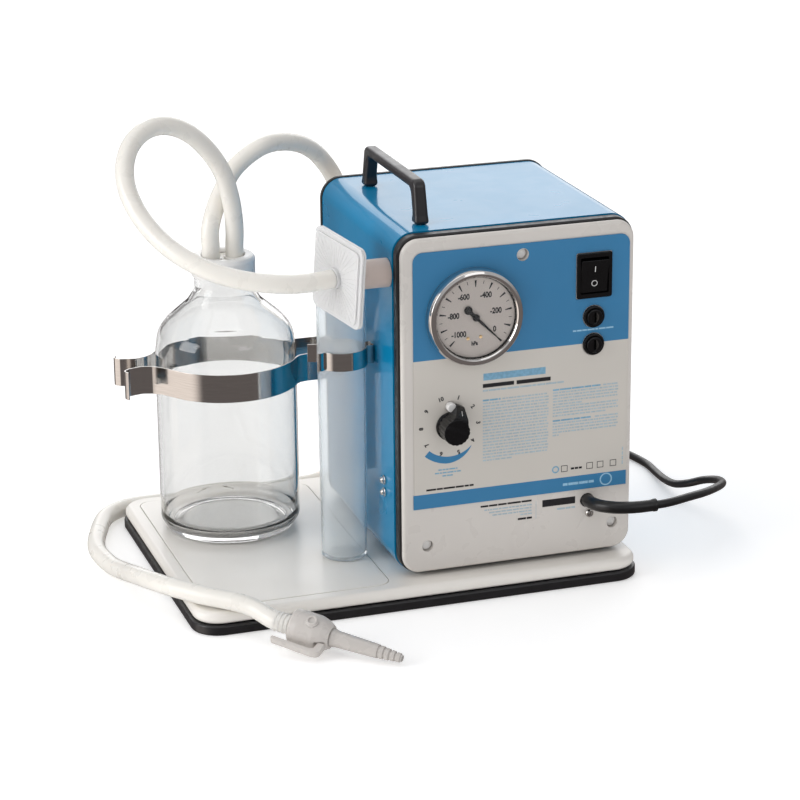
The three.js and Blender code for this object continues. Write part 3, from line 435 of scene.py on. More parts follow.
def lathe(name, profile, material, place=WORLD, segments=96, closed=False, shaded=35, radii=None, steps=4):
    """A profile of (radius, height) points turned round Z, its corners rounded by radii if given.
    A closed profile joins its end to its start."""
    if radii is not None:
        profile = rounded(profile, radii, steps, closed)
    verts, rings = [], []
    for radius, height in profile:
        if radius < 1e-6:
            rings.append([len(verts)])
            verts.append((0, 0, height))
        else:
            rings.append(list(range(len(verts), len(verts) + segments)))
            verts.extend((x, y, height) for x, y in circle(0, 0, radius, segments))
    faces = []
    pairs = list(zip(rings, rings[1:])) + ([(rings[-1], rings[0])] if closed else [])
    for low, high in pairs:
        for k in range(segments):
            n = (k + 1) % segments
            if len(low) > 1 and len(high) > 1:
                faces.append((low[k], low[n], high[n], high[k]))
            elif len(low) > 1:
                faces.append((low[k], low[n], high[0]))
            elif len(high) > 1:
                faces.append((low[0], high[n], high[k]))
    return smooth(mesh_object(name, verts, faces, material, place), shaded)


def extruded(outline, low, high):
    """The corners and faces of an outline in XY carried from one height to another."""
    count = len(outline)
    verts = [(x, y, z) for z in (low, high) for x, y in outline]
    faces = [tuple(reversed(range(count))), tuple(range(count, 2 * count))]
    faces += [(k, (k + 1) % count, count + (k + 1) % count, count + k) for k in range(count)]
    return verts, faces


def prism(name, outline, low, high, material, place=WORLD, bevel=0.0, segments=3, cuts=(), shaded=35):
    """An extruded outline with its rims rounded, less the cuts."""
    obj = mesh_object(name, *extruded(outline, low, high), material, place)
    if bevel:
        bevelled(obj, bevel, segments)
    if cuts:
        without(obj, *cuts)
    return smooth(obj, shaded)


def cutter(outline, low, high, place=WORLD):
    return mesh_object("cutter", *extruded(outline, low, high), PANEL_WHITE, place)


def flat_shapes(name, polygons, material, place, low, thick=0.05):
    """Several flat polygons given a thickness, as one piece."""
    verts, faces = [], []
    for polygon in polygons:
        first = len(verts)
        more_verts, more_faces = extruded(polygon, low, low + thick)
        verts += more_verts
        faces += [tuple(first + k for k in face) for face in more_faces]
    return mesh_object(name, verts, faces, material, place)


def turned_shape(points, degrees):
    c, s = math.cos(math.radians(degrees)), math.sin(math.radians(degrees))
    return [(x * c - y * s, x * s + y * c) for x, y in points]


def strip(name, line, thickness, low, height, material, bevel=0.25):
    """A metal strip stood on edge along a line in plan."""
    def side(offset):
        out = []
        for i, (x, y) in enumerate(line):
            run = Vector(line[min(len(line) - 1, i + 1)]) - Vector(line[max(0, i - 1)])
            run.normalize()
            out.append((x - run.y * offset, y + run.x * offset))
        return out
    outline = side(thickness / 2) + side(-thickness / 2)[::-1]
    return prism(name, outline, low, low + height, material, bevel=bevel, segments=2, shaded=30)


def smooth_line(points, spacing):
    """A centripetal Catmull-Rom curve through the points, as points about that far apart."""
    ends = [2 * Vector(points[0]) - Vector(points[1]), 2 * Vector(points[-1]) - Vector(points[-2])]
    knots = [ends[0], *[Vector(p) for p in points], ends[1]]
    out = []
    for i in range(1, len(knots) - 2):
        p0, p1, p2, p3 = knots[i - 1:i + 3]
        t0 = 0.0
        t1 = t0 + math.sqrt((p1 - p0).length)
        t2 = t1 + math.sqrt((p2 - p1).length)
        t3 = t2 + math.sqrt((p3 - p2).length)
        steps = max(2, round((p2 - p1).length / spacing))
        for k in range(steps):
            t = t1 + (t2 - t1) * k / steps
            a1 = p0 * ((t1 - t) / (t1 - t0)) + p1 * ((t - t0) / (t1 - t0))
            a2 = p1 * ((t2 - t) / (t2 - t1)) + p2 * ((t - t1) / (t2 - t1))
            a3 = p2 * ((t3 - t) / (t3 - t2)) + p3 * ((t - t2) / (t3 - t2))
            b1 = a1 * ((t2 - t) / (t2 - t0)) + a2 * ((t - t0) / (t2 - t0))
            b2 = a2 * ((t3 - t) / (t3 - t1)) + a3 * ((t - t1) / (t3 - t1))
            out.append(b1 * ((t2 - t) / (t2 - t1)) + b2 * ((t - t1) / (t2 - t1)))
    out.append(Vector(points[-1]))
    return out


def tube(name, line, radius, material, sides=28, end_round=0.0):
    """A round tube along the points of a line, with a radius for all of it or one per point."""
    count = len(line)
    radii = radius if isinstance(radius, list) else [radius] * count
    aims = [(line[min(count - 1, i + 1)] - line[max(0, i - 1)]).normalized() for i in range(count)]
    across = aims[0].orthogonal().normalized()
    verts, faces = [], []
    for i in range(count):
        across = (across - aims[i] * across.dot(aims[i])).normalized()
        other = aims[i].cross(across)
        for k in range(sides):
            angle = 2 * math.pi * k / sides
            verts.append(line[i] + (across * math.cos(angle) + other * math.sin(angle)) * radii[i])
    for i in range(count - 1):
        for k in range(sides):
            n = (k + 1) % sides
            faces.append((i * sides + k, i * sides + n, (i + 1) * sides + n, (i + 1) * sides + k))
    faces += [tuple(range(sides)), tuple(range((count - 1) * sides, count * sides))]
    obj = mesh_object(name, verts, faces, material)
    if end_round:
        bevelled(obj, end_round, 2, 60)
    return smooth(obj, 50)


def lettering(name, words, size, material, place, width=1.0, thick=0.08, weight=0.0):
    """Printed marks, as a thin raised mesh with its middle at the frame's origin."""
    curve = bpy.data.curves.new(name, "FONT")
    curve.body = words
    curve.size = size
    curve.align_x = "CENTER"
    curve.align_y = "CENTER"
    curve.extrude = thick / 2
    curve.offset = weight
    curve.resolution_u = 4
    obj = bpy.data.objects.new(name, curve)
    SCENE.collection.objects.link(obj)
    depsgraph = bpy.context.evaluated_depsgraph_get()
    mesh = bpy.data.meshes.new_from_object(obj.evaluated_get(depsgraph))
    bpy.data.objects.remove(obj)
    mesh.transform(Matrix.Diagonal((width, 1, 1, 1)))
    mesh.transform(place)
    mesh.transform(Matrix.Scale(MM, 4))
    mesh.materials.clear()
    mesh.materials.append(material)
    obj = bpy.data.objects.new(name, mesh)
    SCENE.collection.objects.link(obj)
    return obj


def joined(name, *objects):
    """Several meshes made one piece."""
    body = bmesh.new()
    for obj in objects:
        body.from_mesh(obj.data)
    mesh = bpy.data.meshes.new(name)
    body.to_mesh(mesh)
    body.free()
    mesh.materials.append(objects[0].data.materials[0])
    smooth_faces = [p.use_smooth for o in objects for p in o.data.polygons]
    mesh.polygons.foreach_set("use_smooth", smooth_faces)
    for obj in objects:
        bpy.data.objects.remove(obj)
    whole = bpy.data.objects.new(name, mesh)
    SCENE.collection.objects.link(whole)
    mesh.set_sharp_from_angle(angle=math.radians(35))
    return whole


def attach(obj, slot, *nodes, body="pump"):
    """The piece rides on a body and stands for the CAD nodes, which are hidden; the slot argument is not
    used.
    """
    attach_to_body(obj, body)
    if nodes:
        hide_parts(*nodes)
    return obj


# ------------------------------------------------------------------ camera, light, floor
def build_camera():
    yaw, pitch, roll = 0.3167, 0.3246, -0.0096
    ahead = Vector((math.sin(yaw) * math.cos(pitch), math.cos(yaw) * math.cos(pitch), -math.sin(pitch)))
    right = Vector((math.cos(yaw), -math.sin(yaw), 0))
    up = right.cross(ahead)
    side = math.cos(roll) * right + math.sin(roll) * up
    top = -math.sin(roll) * right + math.cos(roll) * up
    camera = bpy.data.objects.new("camera", bpy.data.cameras.new("camera"))
    SCENE.collection.objects.link(camera)
    turn = Matrix((side, top, -ahead)).transposed().to_4x4()
    camera.matrix_world = Matrix.Translation((-0.5677, -1.7974, 0.7488)) @ turn
    camera.data.sensor_width = 36
    camera.data.lens = 124.06
    camera.data.clip_end = 30
    SCENE.camera = camera


def build_floor():
    white = Recipe(
        "floor_white", srgb(248, 248, 248), 0.7, Specular_IOR_Level=0.2,
        Emission_Color=(1, 0.995, 0.985, 1), Emission_Strength=0.3,
    ).mottle(3, 0.006).material
    corners = [(x, y, 0) for x, y in rectangle(-6000, 6000, -6000, 6000)]
    floor = mesh_object("floor", corners, [(0, 1, 2, 3)], white)
    floor.visible_glossy = False


def build_lights():
    for name, position, target, width, height, power in (
        ("overhead", (-0.3, 0.3, 2.2), (0, 0, 0.1), 2.6, 2.2, 13),
        ("left", (-2.4, -0.3, 1.0), (0, 0, 0.15), 1.4, 1.6, 26),
        ("behind", (1.25, 2.9, 1.3), (0.2, 0, 0.3), 3.3, 2.3, 35),
        ("front", (0.9, -2.6, 1.6), (0, 0, 0.15), 1.2, 1.2, 4),
    ):
        lamp = bpy.data.lights.new(name, "AREA")
        lamp.shape = "RECTANGLE"
        lamp.size, lamp.size_y = width, height
        lamp.energy = power
        obj = bpy.data.objects.new(name, lamp)
        SCENE.collection.objects.link(obj)
        obj.location = position
        aim = Vector(target) - Vector(position)
        obj.rotation_euler = aim.to_track_quat("-Z", "Y").to_euler()


def build_world():
    world = bpy.data.worlds.new("studio")
    world.use_nodes = True
    tree = world.node_tree
    background = tree.nodes["Background"]
    background.inputs["Strength"].default_value = 1.0
    # A pale ceiling that darkens towards the floor, so that metal and glass have something to show.
    place = tree.nodes.new("ShaderNodeTexCoord").outputs["Generated"]
    split = tree.nodes.new("ShaderNodeSeparateXYZ")
    tree.links.new(place, split.inputs["Vector"])
    ramp = tree.nodes.new("ShaderNodeValToRGB")
    ramp.color_ramp.interpolation = "EASE"
    low, high = ramp.color_ramp.elements
    low.position, low.color = 0.40, (0.17, 0.15, 0.145, 1)
    high.position, high.color = 0.72, (0.5, 0.5, 0.51, 1)
    tree.links.new(remap(tree, split.outputs["Z"], (-1.0, 1.0), (0.0, 1.0)), ramp.inputs["Fac"])
    # A brighter patch low on the left, which the steel strips pick up where they curve away.
    facing = tree.nodes.new("ShaderNodeVectorMath")
    facing.operation = "DOT_PRODUCT"
    facing.inputs[1].default_value = (-0.95, 0.0, -0.31)
    tree.links.new(place, facing.inputs[0])
    patch = remap(tree, facing.outputs["Value"], (0.8, 0.97), (0.0, 1.0), "SMOOTHSTEP")
    mix = tree.nodes.new("ShaderNodeMix")
    mix.data_type = "RGBA"
    mix.inputs["B"].default_value = (1.3, 1.17, 1.08, 1)
    tree.links.new(patch, mix.inputs["Factor"])
    tree.links.new(ramp.outputs["Color"], mix.inputs["A"])
    tree.links.new(mix.outputs["Result"], background.inputs["Color"])
    SCENE.world = world
    SCENE.view_settings.view_transform = "Standard"


# ------------------------------------------------------------------ cords
def build_filter_hose():
    x, y = BOTTLE[0] + PIPE_APART, BOTTLE[1]
    face = 3.25 + 2.7
    points = [
        (x, y, STOPPER_TOP), (x, y, STOPPER_TOP + 8), (x, y - 2, 240),
        (-90.3, 38.8, 261.9), (-96.6, 36.8, 283.4), (-105.5, 36.4, 298.5), (-117.3, 34.5, 311.2),
        (-129.2, 32.2, 318.7), (-141.9, 28.5, 322), (-154.5, 23.2, 320.4), (-165.4, 16.1, 313.7),
        (-172.2, 7.2, 304), (-174.7, -0.9, 294.3), (-174.3, -9.3, 284.8), (-170, -21, 272.5),
        (-160.9, -36.3, 259.4), (-149, -51.3, 249.6), (-133.1, -66.1, 241.9), (-117.7, -76.6, 237.8),
        (-100.3, -84.1, 235.2), (-82.7, -87.5, 233.8),
        tuple(FILTER + FILTER_OUT * (face + 14)), tuple(FILTER + FILTER_OUT * (face + 0.3)),
    ]
    cord("hose_to_filter", points, HOSE_RADIUS, SILICONE, "silicone", "filter_hose",
         exit=points[0], far_end="object", stiffness="medium", lay="loose")


def build_patient_hose():
    x, y = BOTTLE[0] - PIPE_APART, BOTTLE[1]
    end = CONNECTOR_FROM - CONNECTOR_AIM * 0.4
    points = [
        (x, y, STOPPER_TOP), (x, y, STOPPER_TOP + 8), (x, y, 240),
        (-98.5, 51, 255), (-91, 56, 267), (-83, 59.5, 278), (-71.5, 62, 287), (-58.3, 64, 293.3),
        (-42.6, 72, 293), (-27.3, 80, 288.5), (-14.1, 88, 280), (-3.3, 95, 268), (5, 101, 255),
        (15, 110, 230), (24, 118, 200), (31, 124, 160), (35, 127, 115), (36, 128.5, 75), (32, 129, 44),
        (20, 129, 22), (0, 128.5, 10), (-24, 128, 7), (-60, 127.6, 6.9), (-100, 127.8, 6.9),
        (-138, 128.5, 6.9), (-157, 126, 6.9), (-174, 113, 6.9), (-187, 84, 6.9), (-196, 48, 6.9),
        (-193, 14, 7.4), (-188.9, -12, 12), (-186, -38, 18.5),
        (-180, -62, 22.6), (-168.5, -83, 23.7), (-152.6, -102.8, 23.7), (-142.6, -112.4, 23.6),
        (-133.8, -120.6, 23), (-125.8, -128.8, 21.1), tuple(end - CONNECTOR_AIM * 13), tuple(end),
    ]
    pieces = build_connector()
    cord("hose_to_patient", points, HOSE_RADIUS, SILICONE, "silicone", "patient_hose",
         exit=points[0], far_end="connector", stiffness="medium", lay="loose", with_pieces=pieces)


def build_mains_lead():
    x, y, z = LEAD_EXIT
    points = [
        (x + 40.6, y - 30.5, z + 2.2), (x + 46, y - 30.4, z + 2.3), (x + 54, y - 28.5, z + 2.2),
        (194, -125, 59.6), (214, -111, 56), (236, -86, 49), (251, -60, 41), (257.5, -36, 34),
        (256, -16, 27), (251, 0, 19.5), (248.5, 18, 13),
        (250, 40, 8.4), (254, 66, 4.6), (256, 92, 3.3), (252, 114, 3.3), (246.5, 131, 3.3), (243, 147, 3.3),
    ]
    points += coiled_points()
    ahead = Vector((math.cos(PLUG_HEADING), math.sin(PLUG_HEADING), 0))
    points += [tuple(Vector(PLUG) - ahead * 12), PLUG]
    plug = build_plug()
    build_lead_sleeve()
    cord("mains_lead", points, LEAD_RADIUS, LEAD_BLACK, "black_rubber", "power_lead", "power_lead_coil",
         exit=points[0], far_end="plug", stiffness="medium", lay="coiled", with_pieces=[plug])


def coiled_points():
    """Turns that wind inwards on the floor, step up a layer and wind outwards again."""
    x, y = COIL
    turns, steps, start = 7.2833, 150, math.radians(8)
    step_from, step_to = 3.29, 3.99
    outside, pitch, low, layer_rise = 44, 6.1, 3.3, 6.2
    out = []
    for k in range(steps + 1):
        turn = turns * k / steps
        share = min(1.0, max(0.0, (turn - step_from) / (step_to - step_from)))
        lift = share * share * (3 - 2 * share)
        inward = min(turn, step_from) - max(0.0, turn - step_to)
        radius = outside - pitch * inward
        angle = start + 2 * math.pi * turn
        out.append((x + radius * math.cos(angle), y + radius * math.sin(angle), low + layer_rise * lift))
    return out


def cord(name, points, radius, material, slot, *nodes, exit, far_end, stiffness, lay, with_pieces=()):
    """A tube on one smooth curve through the points."""
    spacing, sides = (2.5, 32) if radius == HOSE_RADIUS else (2.0, 16)
    line = smooth_line(points, spacing)
    obj = attach(tube(name, line, radius, material, sides), slot, *nodes)


def build_connector():
    """The finger-control connector: a body with a thumb button, a stepped nozzle and a lever beside it."""
    length = (CONNECTOR_TO - CONNECTOR_FROM).length
    start = looking(CONNECTOR_FROM, CONNECTOR_AIM)
    place = start @ spun("Z", -CONNECTOR_ROLL)
    shell = [
        (2.2, 5), (7.2, 4), (7.4, 0), (10.8, 0), (12.2, 1.4), (12.6, 6), (12.2, 19), (10.8, 24), (8.6, 28),
        (8, 29), (2.2, 29),
    ]
    body = lathe("connector_collar", shell, CONNECTOR_WHITE, place, 72, closed=True,
                 radii=[0, 0.5, 0.4, 0.8, 1.5, 8, 8, 6, 2, 0.5, 0], steps=5)
    without(body, cutter(rectangle(-3.2, 3.2, -20, -8.6, 0.8, 3), 21, 40, place))
    side = place @ spun("Z", 98) @ Matrix.Translation((0, 0, 16)) @ spun("X", -90)
    rim = [
        (0, 9), (4.6, 9), (4.6, 12.7), (3.7, 13.0), (3.7, 13.8), (2.9, 14.2), (2.3, 13.6), (2.2, 12.9),
        (0, 12.8),
    ]
    button = lathe("button", rim, CONNECTOR_WHITE, side, 40,
                   radii=[0, 0, 0.4, 0.3, 0.4, 0.4, 0.3, 0.3, 0], steps=3)
    body = smooth(joined("connector_collar", smooth(body, 30), button), 30)
    attach(body, "white_plastic", "connector_body")

    steps, pitch, first = 5, 4, length - 20
    outline = [(2.2, 29.3), (6.4, 29.3), (6.2, 31.5), (5.7, 33)]
    for k in range(steps):
        wide, low = 4.9 - 0.4 * k, first + k * pitch
        outline += [
            (wide, low), (wide - 0.15, low + 2.6), (wide - 0.95, low + 2.7), (wide - 1.0, low + 3.9),
        ]
    outline.append((2.2, length))
    nozzle = lathe("connector_tip", rounded(outline, 0.15, 3), NOZZLE_GREY, place, 56, closed=True)
    attach(nozzle, "white_plastic", "connector_nozzle")

    shape = [
        (-9, -14.8), (-8.2, -17.9), (22, -19.8), (27.5, -18.6), (28.4, -9.4), (23.4, -9.4), (22.4, -15.6),
        (20, -16.4),
    ]
    lever_place = place @ spun("Y", -90)
    lever = prism("connector_lever_arm", rounded(shape, [1.2, 1.2, 5, 4, 0.6, 0.6, 1.5, 2], 5), -2.6, 2.6,
                  CONNECTOR_WHITE, lever_place, bevel=0.8, segments=4)
    attach(lever, "white_plastic", "connector_lever", body="lever")

    # The moulded ribs on the last stretch of the hose, where it is thickened to take the connector.
    rings = []
    for k in range(4):
        low = -2.4 - 3.0 * k
        ring = rounded([(6.2, low - 1.0), (6.95, low - 0.7), (6.95, low + 0.7), (6.2, low + 1.0)], 0.3, 2)
        rings.append(lathe(f"rib_{k}", ring, SILICONE, start, 40, closed=True))
    ribs = attach(joined("hose_end_ribs", *rings), "silicone")
    return [body, nozzle, lever, ribs]


def build_plug():
    """A two-pin plug with a ribbed strain relief, drawn pointing along X from its tail."""
    turn = Matrix.Translation(PLUG) @ Matrix.Rotation(PLUG_HEADING, 4, "Z")
    along = turn @ spun("Y", 90)
    relief = [(0, 0), (3.7, 0)]
    for k in range(5):
        low = 1.5 + k * 3.8
        grow = 3.6 + 1.8 * (low / 21)
        relief += [(grow, low), (grow, low + 2.2), (grow - 0.7, low + 2.7), (grow - 0.7, low + 3.5)]
    relief += [(5.4, 21), (0, 21)]
    tail = lathe("relief", relief, BLACK_PLASTIC, along, 32)
    shape = rounded(
        [(21, -7.8), (33, -17.6), (57, -17.6), (57, 17.6), (33, 17.6), (21, 7.8)], [1, 9, 3, 3, 9, 1], 6,
    )
    grip = prism("grip", shape, -6.8, 6.8, BLACK_PLASTIC, turn, bevel=2.4, segments=4)
    plug = joined("plug_body", grip, tail)
    attach(plug, "black_plastic", "mains_plug")
    for side, label in ((-9.5, "a"), (9.5, "b")):
        pin_place = turn @ Matrix.Translation((56, side, 0)) @ spun("Y", 90)
        pin = lathe(
            f"plug_pin_{label}", [(0, 0), (2, 0), (2, 18.6), (1.2, 20), (0, 20)], CHROME, pin_place, 24,
        )
        sleeve = lathe(
            f"plug_pin_sleeve_{label}", [(1.9, 0), (2.02, 0), (2.02, 9), (1.9, 9)], BLACK_PLASTIC,
            pin_place, 24, closed=True,
        )
        attach(pin, "black_plastic")
        attach(sleeve, "black_plastic")
    return plug


def build_lead_sleeve():
    """The long strain relief, which bends as it leaves the panel and ends in a thicker rim."""
    x, y, z = LEAD_EXIT
    points = [
        (x, y + 14, z), (x, y + 6, z), (x + 0.4, y - 6, z + 0.4), (x + 3.6, y - 17, z + 1.2),
        (x + 13, y - 26, z + 1.8), (x + 27, y - 30, z + 2), (x + 40, y - 30.5, z + 2.2),
    ]
    line = smooth_line(points, 1.2)
    count = len(line)
    radii = []
    for i in range(count):
        share = i / (count - 1)
        at_an_end = share > 0.965 or share < 0.22
        radii.append(4.6 if at_an_end else 4.55 - 0.5 * (share - 0.2))
    sleeve = tube("lead_strain_sleeve", line, radii, LEAD_BLACK, 32, 0.3)
    attach(sleeve, "black_rubber", "lead_sleeve")


# ------------------------------------------------------------------ base
def build_base():
    rim = prism("base_rubber_rim", rectangle(-163.5, 163.5, -120, 120, 20, 14), 0, 7, RUBBER, bevel=1.3)
    attach(rim, "black_rubber", "base_rim")
    plate = prism(
        "base_white_plate", rectangle(-162.3, 162.3, -118.8, 118.8, 19, 14), 7.3, 16.4, BASE_WHITE,
        bevel=4.2, segments=6, cuts=[cutter(rectangle(-152, -20.5, -108, 108, 10, 10), 15.2, 40)],
    )
    attach(plate, "white_plastic", "base_plate")
    insert = prism(
        "base_tray_insert", rectangle(-151.4, -21.1, -107.4, 107.4, 9.5, 10), 15.5, 16.7, BASE_WHITE,
        bevel=0.45,
    )
    attach(insert, "white_plastic", "base_insert")


# ------------------------------------------------------------------ housing
def panel_outline(lip, radius):
    return rectangle(-lip, PANEL_WIDTH + lip, -lip, PANEL_HEIGHT + lip, radius, 14)


def panel_ring(name, outside, inside, low, high, material):
    """A ring that follows the panel's edge between two (lip, radius) outlines."""
    hole = cutter(panel_outline(*inside), low - 9, high + 9, PANEL)
    return prism(name, panel_outline(*outside), low, high, material, PANEL, cuts=[hole])


def round_hole(radius, u, v, steps=48):
    return cutter(circle(u, v, radius, steps), -20, 20, PANEL)


def build_housing():
    sleeve = panel_ring("housing_blue_sleeve", (2, 15), (0.5, 13.5), -174.8, -13.4, BLUE_PAINT)
    attach(sleeve, "blue_paint", "housing_sleeve")
    for name, node, outside, inside, low, high, bevel, segments in (
        ("gasket_front", "front_gasket", (1.25, 14.25), (-1.8, 11.2), -13.3, -5.15, 1.4, 5),
        ("gasket_rear", "rear_gasket", (2.85, 15.85), (0.3, 13.3), -178.8, -175.1, 0.9, 4),
    ):
        band = panel_ring(name, outside, inside, low, high, RUBBER)
        attach(smooth(bevelled(band, bevel, segments), 50), "black_rubber", node)


def build_front_panel():
    u, v = SWITCH
    holes = [round_hole(4.15, *place) for place in POCKETS.values()]
    holes += [round_hole(30.4, *GAUGE), round_hole(5.4, *KNOB)]
    holes += [round_hole(5.2, *LEAD_HOLE), round_hole(1.9, *CLAMP)]
    holes += [round_hole(7.3, u, fuse) for fuse in FUSES.values()]
    holes.append(cutter(rectangle(u - 11.4, u + 11.4, v - 14.5, v + 14.5), -20, 20, PANEL))
    front = prism(
        "front_white_panel", panel_outline(0, 13), -5, 0, PANEL_WHITE, PANEL, bevel=2.45, segments=7,
        cuts=holes,
    )
    attach(front, "white_plastic", "front_panel")


def build_rear_panel():
    slots = [
        cutter(rectangle(mid - 26, mid + 26, v - 2.5, v + 2.5, 2.4, 5), -200, -160, PANEL)
        for mid in (48, 122) for v in range(60, 181, 20)
    ]
    rear = prism(
        "rear_white_panel", panel_outline(0, 13), -180, -175, PANEL_WHITE, PANEL, bevel=2.0, segments=5,
        cuts=slots,
    )
    attach(rear, "white_plastic", "rear_panel")
    behind = PANEL @ Matrix.Translation((0, 0, -180)) @ spun("Y", 180)
    for k, (u, v) in enumerate(((12, 12), (158, 12), (12, 229), (158, 229))):
        screw_head(f"rear_screw_{k}", behind @ Matrix.Translation((-u, v, 0)), 3.2)
    plate = prism(
        "rear_blank_plate", rectangle(-118, -52, 22, 46, 2, 5), 0, 0.35, DIAL_WHITE, behind, bevel=0.1,
    )
    attach(plate, "white_plastic")


def build_fixings():
    for name, place in POCKETS.items():
        profile = rounded([(0, -12), (1.8, -12), (1.8, -5), (3.9, -5), (3.9, -3.6), (2.6, -3.1), (0, -2.9)],
                          [0, 0, 0, 0.2, 0.5, 0.4, 0], 3, closed=False)
        cap = lathe(f"pocket_cap_{name}", profile, CAP_WHITE, on_panel(*place), 32)
        attach(cap, "white_plastic", f"panel_screw_{name}")
    clamp = screw_head("lead_clamp_head", on_panel(*CLAMP, 0.3), 3.0)
    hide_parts("lead_clamp_screw")
    for name, z in (("upper", 79.2), ("lower", 70.2)):
        place = looking(Vector((WALL, FRONT + 33.6, z)), (-1, 0, 0))
        profile = rounded([(0, 0.3), (3.4, 0.3), (3.4, 1.1), (2.5, 1.1), (2.5, 2.2), (1.6, 3.4), (0, 3.8)],
                          [0, 0.1, 0.2, 0.1, 0.6, 0.8, 0], 4, closed=False)
        nut = lathe(f"side_dome_nut_{name}", profile, CHROME, place, 32)
        attach(nut, "steel", f"side_screw_{name}")


def screw_head(name, place, radius):
    """A domed screw head with a cross recess."""
    profile = [(0, 0), (radius, 0), (radius, 0.7), (radius * 0.8, 1.6), (radius * 0.4, 2.05), (0, 2.2)]
    head = lathe(name, rounded(profile, [0, 0.1, 0.4, 0.8, 0.8, 0], 4, closed=False), STEEL, place, 32)
    arm, wide = radius * 0.55, radius * 0.13
    for x, y in ((arm, wide), (wide, arm)):
        without(head, cutter(rectangle(-x, x, -y, y), 1.0, 5, place))
    return attach(smooth(head), "steel")


def build_handle():
    (_, _, roof), (_, _, top) = box("carry_handle")
    under, middle_x = top - 7, middle("carry_handle")[0]
    front, back, lean, half, foot = -71.4, 42.3, 5, 4.2, 5.7
    shape = [
        (front - foot, roof), (front - foot + 1.5, roof + 6), (front + lean - half, top),
        (back - lean + half, top), (back + foot - 1.5, roof + 6), (back + foot, roof),
        (back - foot, roof), (back - foot + 1, roof + 6), (back - lean - half, under),
        (front + lean + half, under), (front + foot - 1, roof + 6), (front + foot, roof),
    ]
    outline = rounded(shape, [0, 12, 6.5, 6.5, 12, 0, 0, 12, 6, 6, 12, 0], 8)
    # Drawn with X along the row's Y and Y up, so its thickness runs along the row's X.
    place = Matrix.Translation((middle_x, 0, 0)) @ ON_SIDE
    handle = prism(
        "carrying_handle", outline, -4.5, 4.5, HANDLE_BLACK, place, bevel=2.6, segments=7, shaded=60,
    )
    flare, flare_height = 0.2, 12
    for vertex in handle.data.vertices:
        spread = max(0.0, (roof + flare_height) * MM - vertex.co.z) / (flare_height * MM)
        vertex.co.x += (vertex.co.x - middle_x * MM) * flare * spread ** 1.5
    attach(handle, "black_plastic", "carry_handle")


# ------------------------------------------------------------------ printed foil
def words(u0, u1, v, height, low=1.0, high=4.6, gap=0.55):
    """A line of plain bars with gaps, where the real one has a line of print."""
    out, u = [], u0
    while u < u1 - 0.8:
        end = min(u1, u + random.uniform(low, high))
        out.append((u, end, v - height / 2, v + height / 2))
        u = end + gap
    return out


def build_foil():
    u, v = SWITCH
    window = rectangle(u - 13.4, u + 13.4, v - 16.5, v + 16.5, 1.4, 4)
    left, right = 8.3, 166.4
    top_part = rounded([(left, 155.2), (right, 155.2), (right, 231.6), (left, 231.6)], [0, 0, 7, 7], 10)
    gauge_hole, fuse_hole = 34.3, 8.2
    blue_cuts = [
        round_hole(gauge_hole, *GAUGE, steps=96), round_hole(4.5, *POCKETS["top"]),
        cutter(window, -20, 20, PANEL), *[round_hole(fuse_hole, u, fuse) for fuse in FUSES.values()],
    ]
    foil = prism("foil_blue", top_part, 0.3, 0.62, LABEL_BLUE, PANEL, cuts=blue_cuts)
    attach(foil, "blue_paint", "panel_label")
    white_cuts = [
        round_hole(gauge_hole, *GAUGE, steps=96), round_hole(fuse_hole, u, FUSES["lower"]),
        round_hole(6, *KNOB), round_hole(3.9, *PEG),
    ]
    lower = prism(
        "foil_white", rectangle(left, right, 58.1, 155.2), 0.3, 0.6, LABEL_WHITE, PANEL, cuts=white_cuts,
    )
    attach(lower, "white_plastic")
    stripe = prism("foil_stripe", rectangle(7.7, 166.4, 47.5, 58.1), 0.3, 0.62, LABEL_BLUE, PANEL)
    attach(stripe, "blue_paint")


def paragraph(bars, left, right, top, lines, pitch, last):
    """Lines of print from the second one down, the last one ending short."""
    for k in range(1, lines + 1):
        bars += words(left, right if k < lines else last, top - pitch * k, 1.05)


